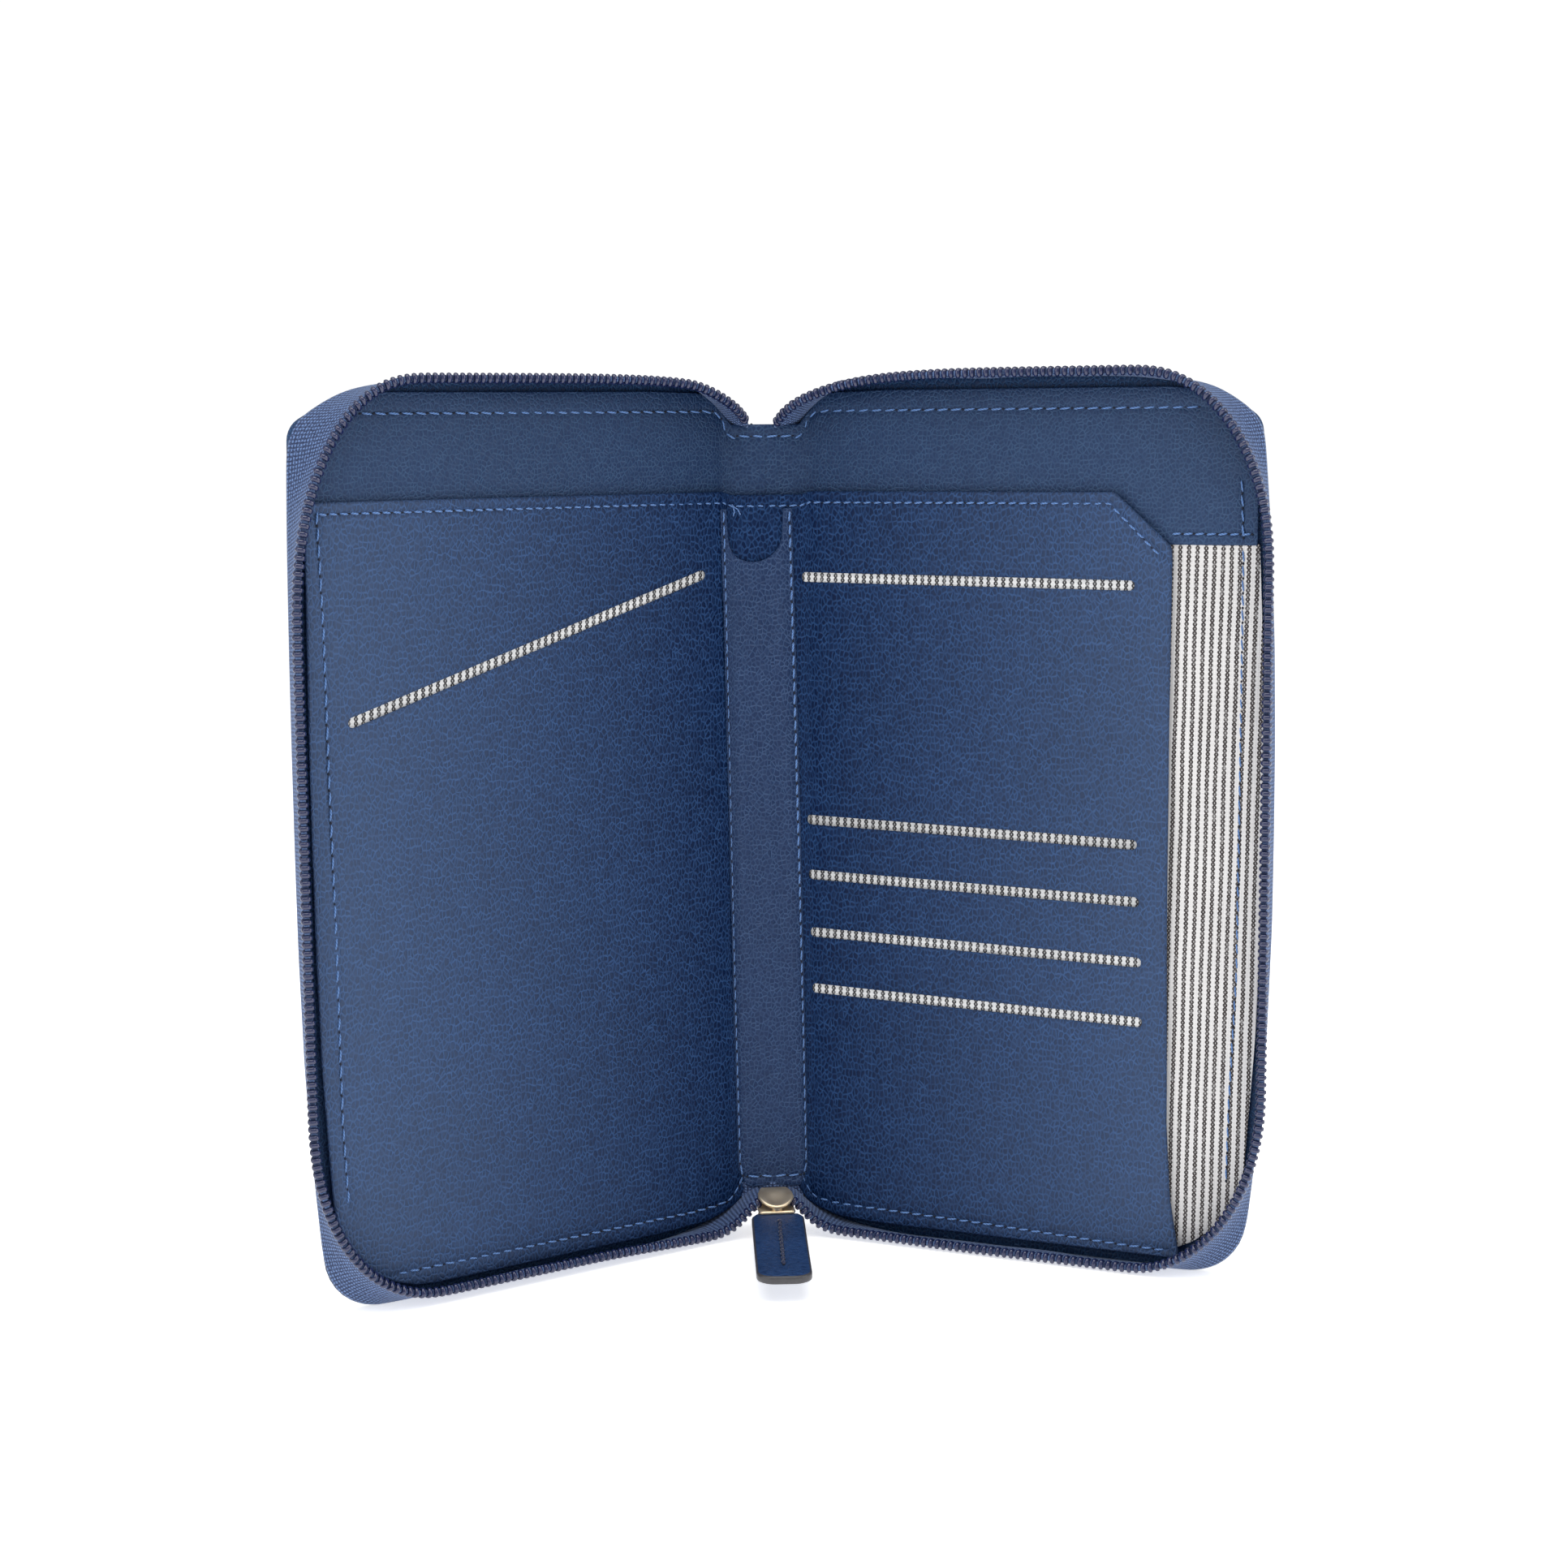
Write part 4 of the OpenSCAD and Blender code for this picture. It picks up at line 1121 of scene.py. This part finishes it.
def slider():
    """Slider body: two plates on a post, side flanges and the two ears of the pull."""
    z_upper, z_lower, plate = 11.5, 7.8, 0.95

    def nose_droop(x, y):
        return 2.1 * (1 - 0.75 * np.clip((x / 4.9) ** 2, 0, 1)) * smooth((Y0 - 4.0 - y) / 9.0)

    def round_corners(y, r, a0, a1, count):
        return [(*p, 0) for p in arc_points(0, y, r, a0, a1, count)]
    slider_plate("slider_upper_plate", round_corners(-8.2, 4.8, 190, 350, 17)
                 + [(4.6, -6.4, 1.0), (3.5, -2.2, 0.8), (-3.5, -2.2, 0.8), (-4.6, -6.4, 1.0)],
                 z_upper, z_upper + plate, 0.45, "slider", droop=nose_droop)
    slider_plate("slider_lower_plate", [(-4.9, -12.6, 1.2), (4.9, -12.6, 1.2), (4.9, -6.5, 1.0),
                                        (3.5, -2.2, 0.8), (-3.5, -2.2, 0.8), (-4.9, -6.5, 1.0)],
                 z_lower, z_lower + plate, 0.4)
    slider_plate("slider_post", round_corners(-11.0, 1.5, 0, 337.5, 16),
                 z_lower + 0.9, z_upper - 1.2, 0.05)
    for side, label in SIDE_NAME.items():
        x, ear_x = side * 3.15, side * 1.85
        flange = box(x - 0.35, -6.2, x + 0.35, -2.3, 0.2)
        slider_plate(f"slider_{label}_lower_flange", flange, z_lower + 0.9, z_lower + 1.9, 0.15)
        slider_plate(f"slider_{label}_upper_flange", flange, z_upper - 0.95, z_upper + 0.05, 0.15)
        slider_plate(f"slider_{label}_ear", box(ear_x - 0.55, -8.9, ear_x + 0.55, -6.1, 0.4),
                     z_lower - 2.45, z_lower + 0.05, 0.25)


def tape_end(side):
    """The end of the tape, folded in behind the slider and sewn under the spine's leather."""
    edge = outline([(0, 5.6, 0), (5.0, 5.6, 1.2), (9.0, 10.0, 2), (9.4, 13.5, 0.6),
                    (0, 13.5, 0)], 1.0)

    def place(x, z, c):
        x, z, c = np.broadcast_arrays(x, z, c)
        return np.stack([side * x, Y0 - 0.3 - c + 0.02 * x ** 2, z], -1)
    ride(thick_piece(SIDE_NAME[side] + "_tape_end", edge, place, 0.0, 0.7, [TAPE], spacing=1.2,
                     rim=0.25, side=side), "spine", "zipper_tape")


def pull_tab():
    """Leather pull: a strip with painted edges, folded round the loop, with one row of stitches.
    It hangs a little askew on the loop."""
    bottom, thickness, yaw = 5.25, 2.1, math.radians(4)
    fold, long, half = Y0 - 10.6, 53.0, 6.9
    end = fold - long
    edge = outline([(-5.6, fold, 0.8), (5.6, fold, 0.8), (half, fold - 3, 2), (half, end, 4.6),
                    (-half, end, 4.6), (-half, fold - 3, 2)], 1.5)
    seam = [(0.3, fold - 6.0), (0.0, end + 9.0)]

    def relief(p):
        h = 0.12 * np.sin(p[:, 1] * 0.13) + groove(p, seam, 0.25, 0.8)
        return h - 0.12 * smooth(1 - loop_distance(p, edge) / 1.6)

    def place(x, y, c):
        back = fold - y
        lift = 0.35 * smooth(1 - back / 20) + 0.1 * np.sin(math.pi * np.clip(back / long, 0, 1))
        x, y = (x * math.cos(yaw) - (back - 2.6) * math.sin(yaw),
                fold - 2.6 - (back - 2.6) * math.cos(yaw) - x * math.sin(yaw))
        return flat_place(x, y, c + lift * (c - bottom) / thickness)
    top = bottom + thickness
    tab = thick_piece("pull_tab_leather", edge, place, bottom, top, [PULL_LEATHER, PAINT],
                      spacing=1.2, rim=0.5, relief=relief,
                      supports=[seam_supports(seam, 1.2)], rim_mat=1)
    ride(tab, "pull", "pull_leather", "pull_tab")
    row = stitches("pull_tab_stitches", seam, place, top, 3.1, [NAVY_THREAD, HOLE_SHADE],
                   height=0.0, slant=0.1, r=0.5)
    ride(row, "pull", "thread", "pull_tab_seam")


# ---- Stage, lights and camera ---------------------------------------------------------

def stage():
    m = Nodes("floor_white")
    tone = m.mix(m.noise(2.0, 2.0, m.solid()), grey(0.93), grey(0.95))
    mat = m.finish(Base_Color=tone, Roughness=0.9, Specular_IOR_Level=0.0,
                   Emission_Color=grey(1.0), Emission_Strength=0.59)
    corners = [(x, y, 0) for x, y, _ in box(-4000, -3000, 4000, 5000, 0)]
    make_object("floor", corners, [(0, 1, 2, 3)], None, [mat], smooth_faces=False)


def stand(name, data, at, axes):
    """Links an object at a place, with its own axes given as vectors."""
    obj = bpy.data.objects.new(name, data)
    bpy.context.scene.collection.objects.link(obj)
    matrix = Matrix(np.stack(axes, 1).tolist()).to_4x4()
    matrix.translation = at
    obj.matrix_world = matrix
    return obj


def area_light(name, at, aim, size, power):
    data = bpy.data.lights.new(name, "AREA")
    data.shape = "RECTANGLE"
    data.size, data.size_y = size
    data.energy = power
    z = (np.array(at) - np.array(aim)) / np.linalg.norm(np.array(at) - np.array(aim))
    x = np.cross([0, 0, 1], z)
    x /= np.linalg.norm(x)
    stand(name, data, at, [x, np.cross(z, x), z])


def lights():
    """A white studio: the backdrop reads as plain white and the light comes mostly from above."""
    world = bpy.data.worlds.new("studio")
    bpy.context.scene.world = world
    world.use_nodes = True
    tree = world.node_tree
    back = tree.nodes["Background"]
    back.inputs["Color"].default_value = (1, 1, 1, 1)
    path = tree.nodes.new("ShaderNodeLightPath")
    strength = tree.nodes.new("ShaderNodeMapRange")
    strength.inputs["To Min"].default_value = 0.5
    strength.inputs["To Max"].default_value = 1.05
    tree.links.new(path.outputs["Is Camera Ray"], strength.inputs["Value"])
    tree.links.new(strength.outputs[0], back.inputs["Strength"])
    area_light("overhead", (-0.1, -0.35, 1.1), (0, 0, 0.1), (1.2, 0.9), 8.5)
    area_light("left_soft", (-1.1, -0.5, 0.55), (0, 0, 0.11), (0.8, 0.8), 3.0)
    area_light("right_soft", (1.1, -0.3, 0.6), (0, 0, 0.11), (0.7, 0.8), 3.9)


def camera():
    """The camera stands in front of the open covers, a little to the left and above."""
    yaw, pitch, roll = 0.1041, -0.1321, -0.0086
    forward = np.array([math.sin(yaw) * math.cos(pitch), math.cos(yaw) * math.cos(pitch),
                        math.sin(pitch)])
    right = np.array([math.cos(yaw), -math.sin(yaw), 0.0])
    up = np.cross(right, forward)
    data = bpy.data.cameras.new("camera")
    data.sensor_fit = "AUTO"
    data.sensor_width = 36.0
    data.lens = 62.46
    data.clip_start, data.clip_end = 0.01, 50.0
    axes = [right * math.cos(roll) + up * math.sin(roll),
            up * math.cos(roll) - right * math.sin(roll), -forward]
    bpy.context.scene.camera = stand("camera", data, (-0.0707, -0.6715, 0.2144), axes)
    bpy.context.scene.view_settings.view_transform = "Standard"


# ---- Making ---------------------------------------------------------------------------

camera()
lights()
stage()
for side in (-1, 1):
    for make in (outer_shell, facing, spine_lining, pen_sleeve, lining, tape, tape_end, coil):
        make(side)
left_panel()
right_panel()
slanted_pocket()
for number in range(1, len(CARD_SLOTS) + 1):
    card_pocket(number)
slider()
pull_tab()
# CAD nodes that keep their shape and get a finished material
for node, material in (("left_board", BOARD), ("right_board", BOARD), ("spine_stay", BOARD),
                       ("pull_loop", GOLD)):
    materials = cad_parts[node].data.materials
    materials.clear()
    materials.append(material)
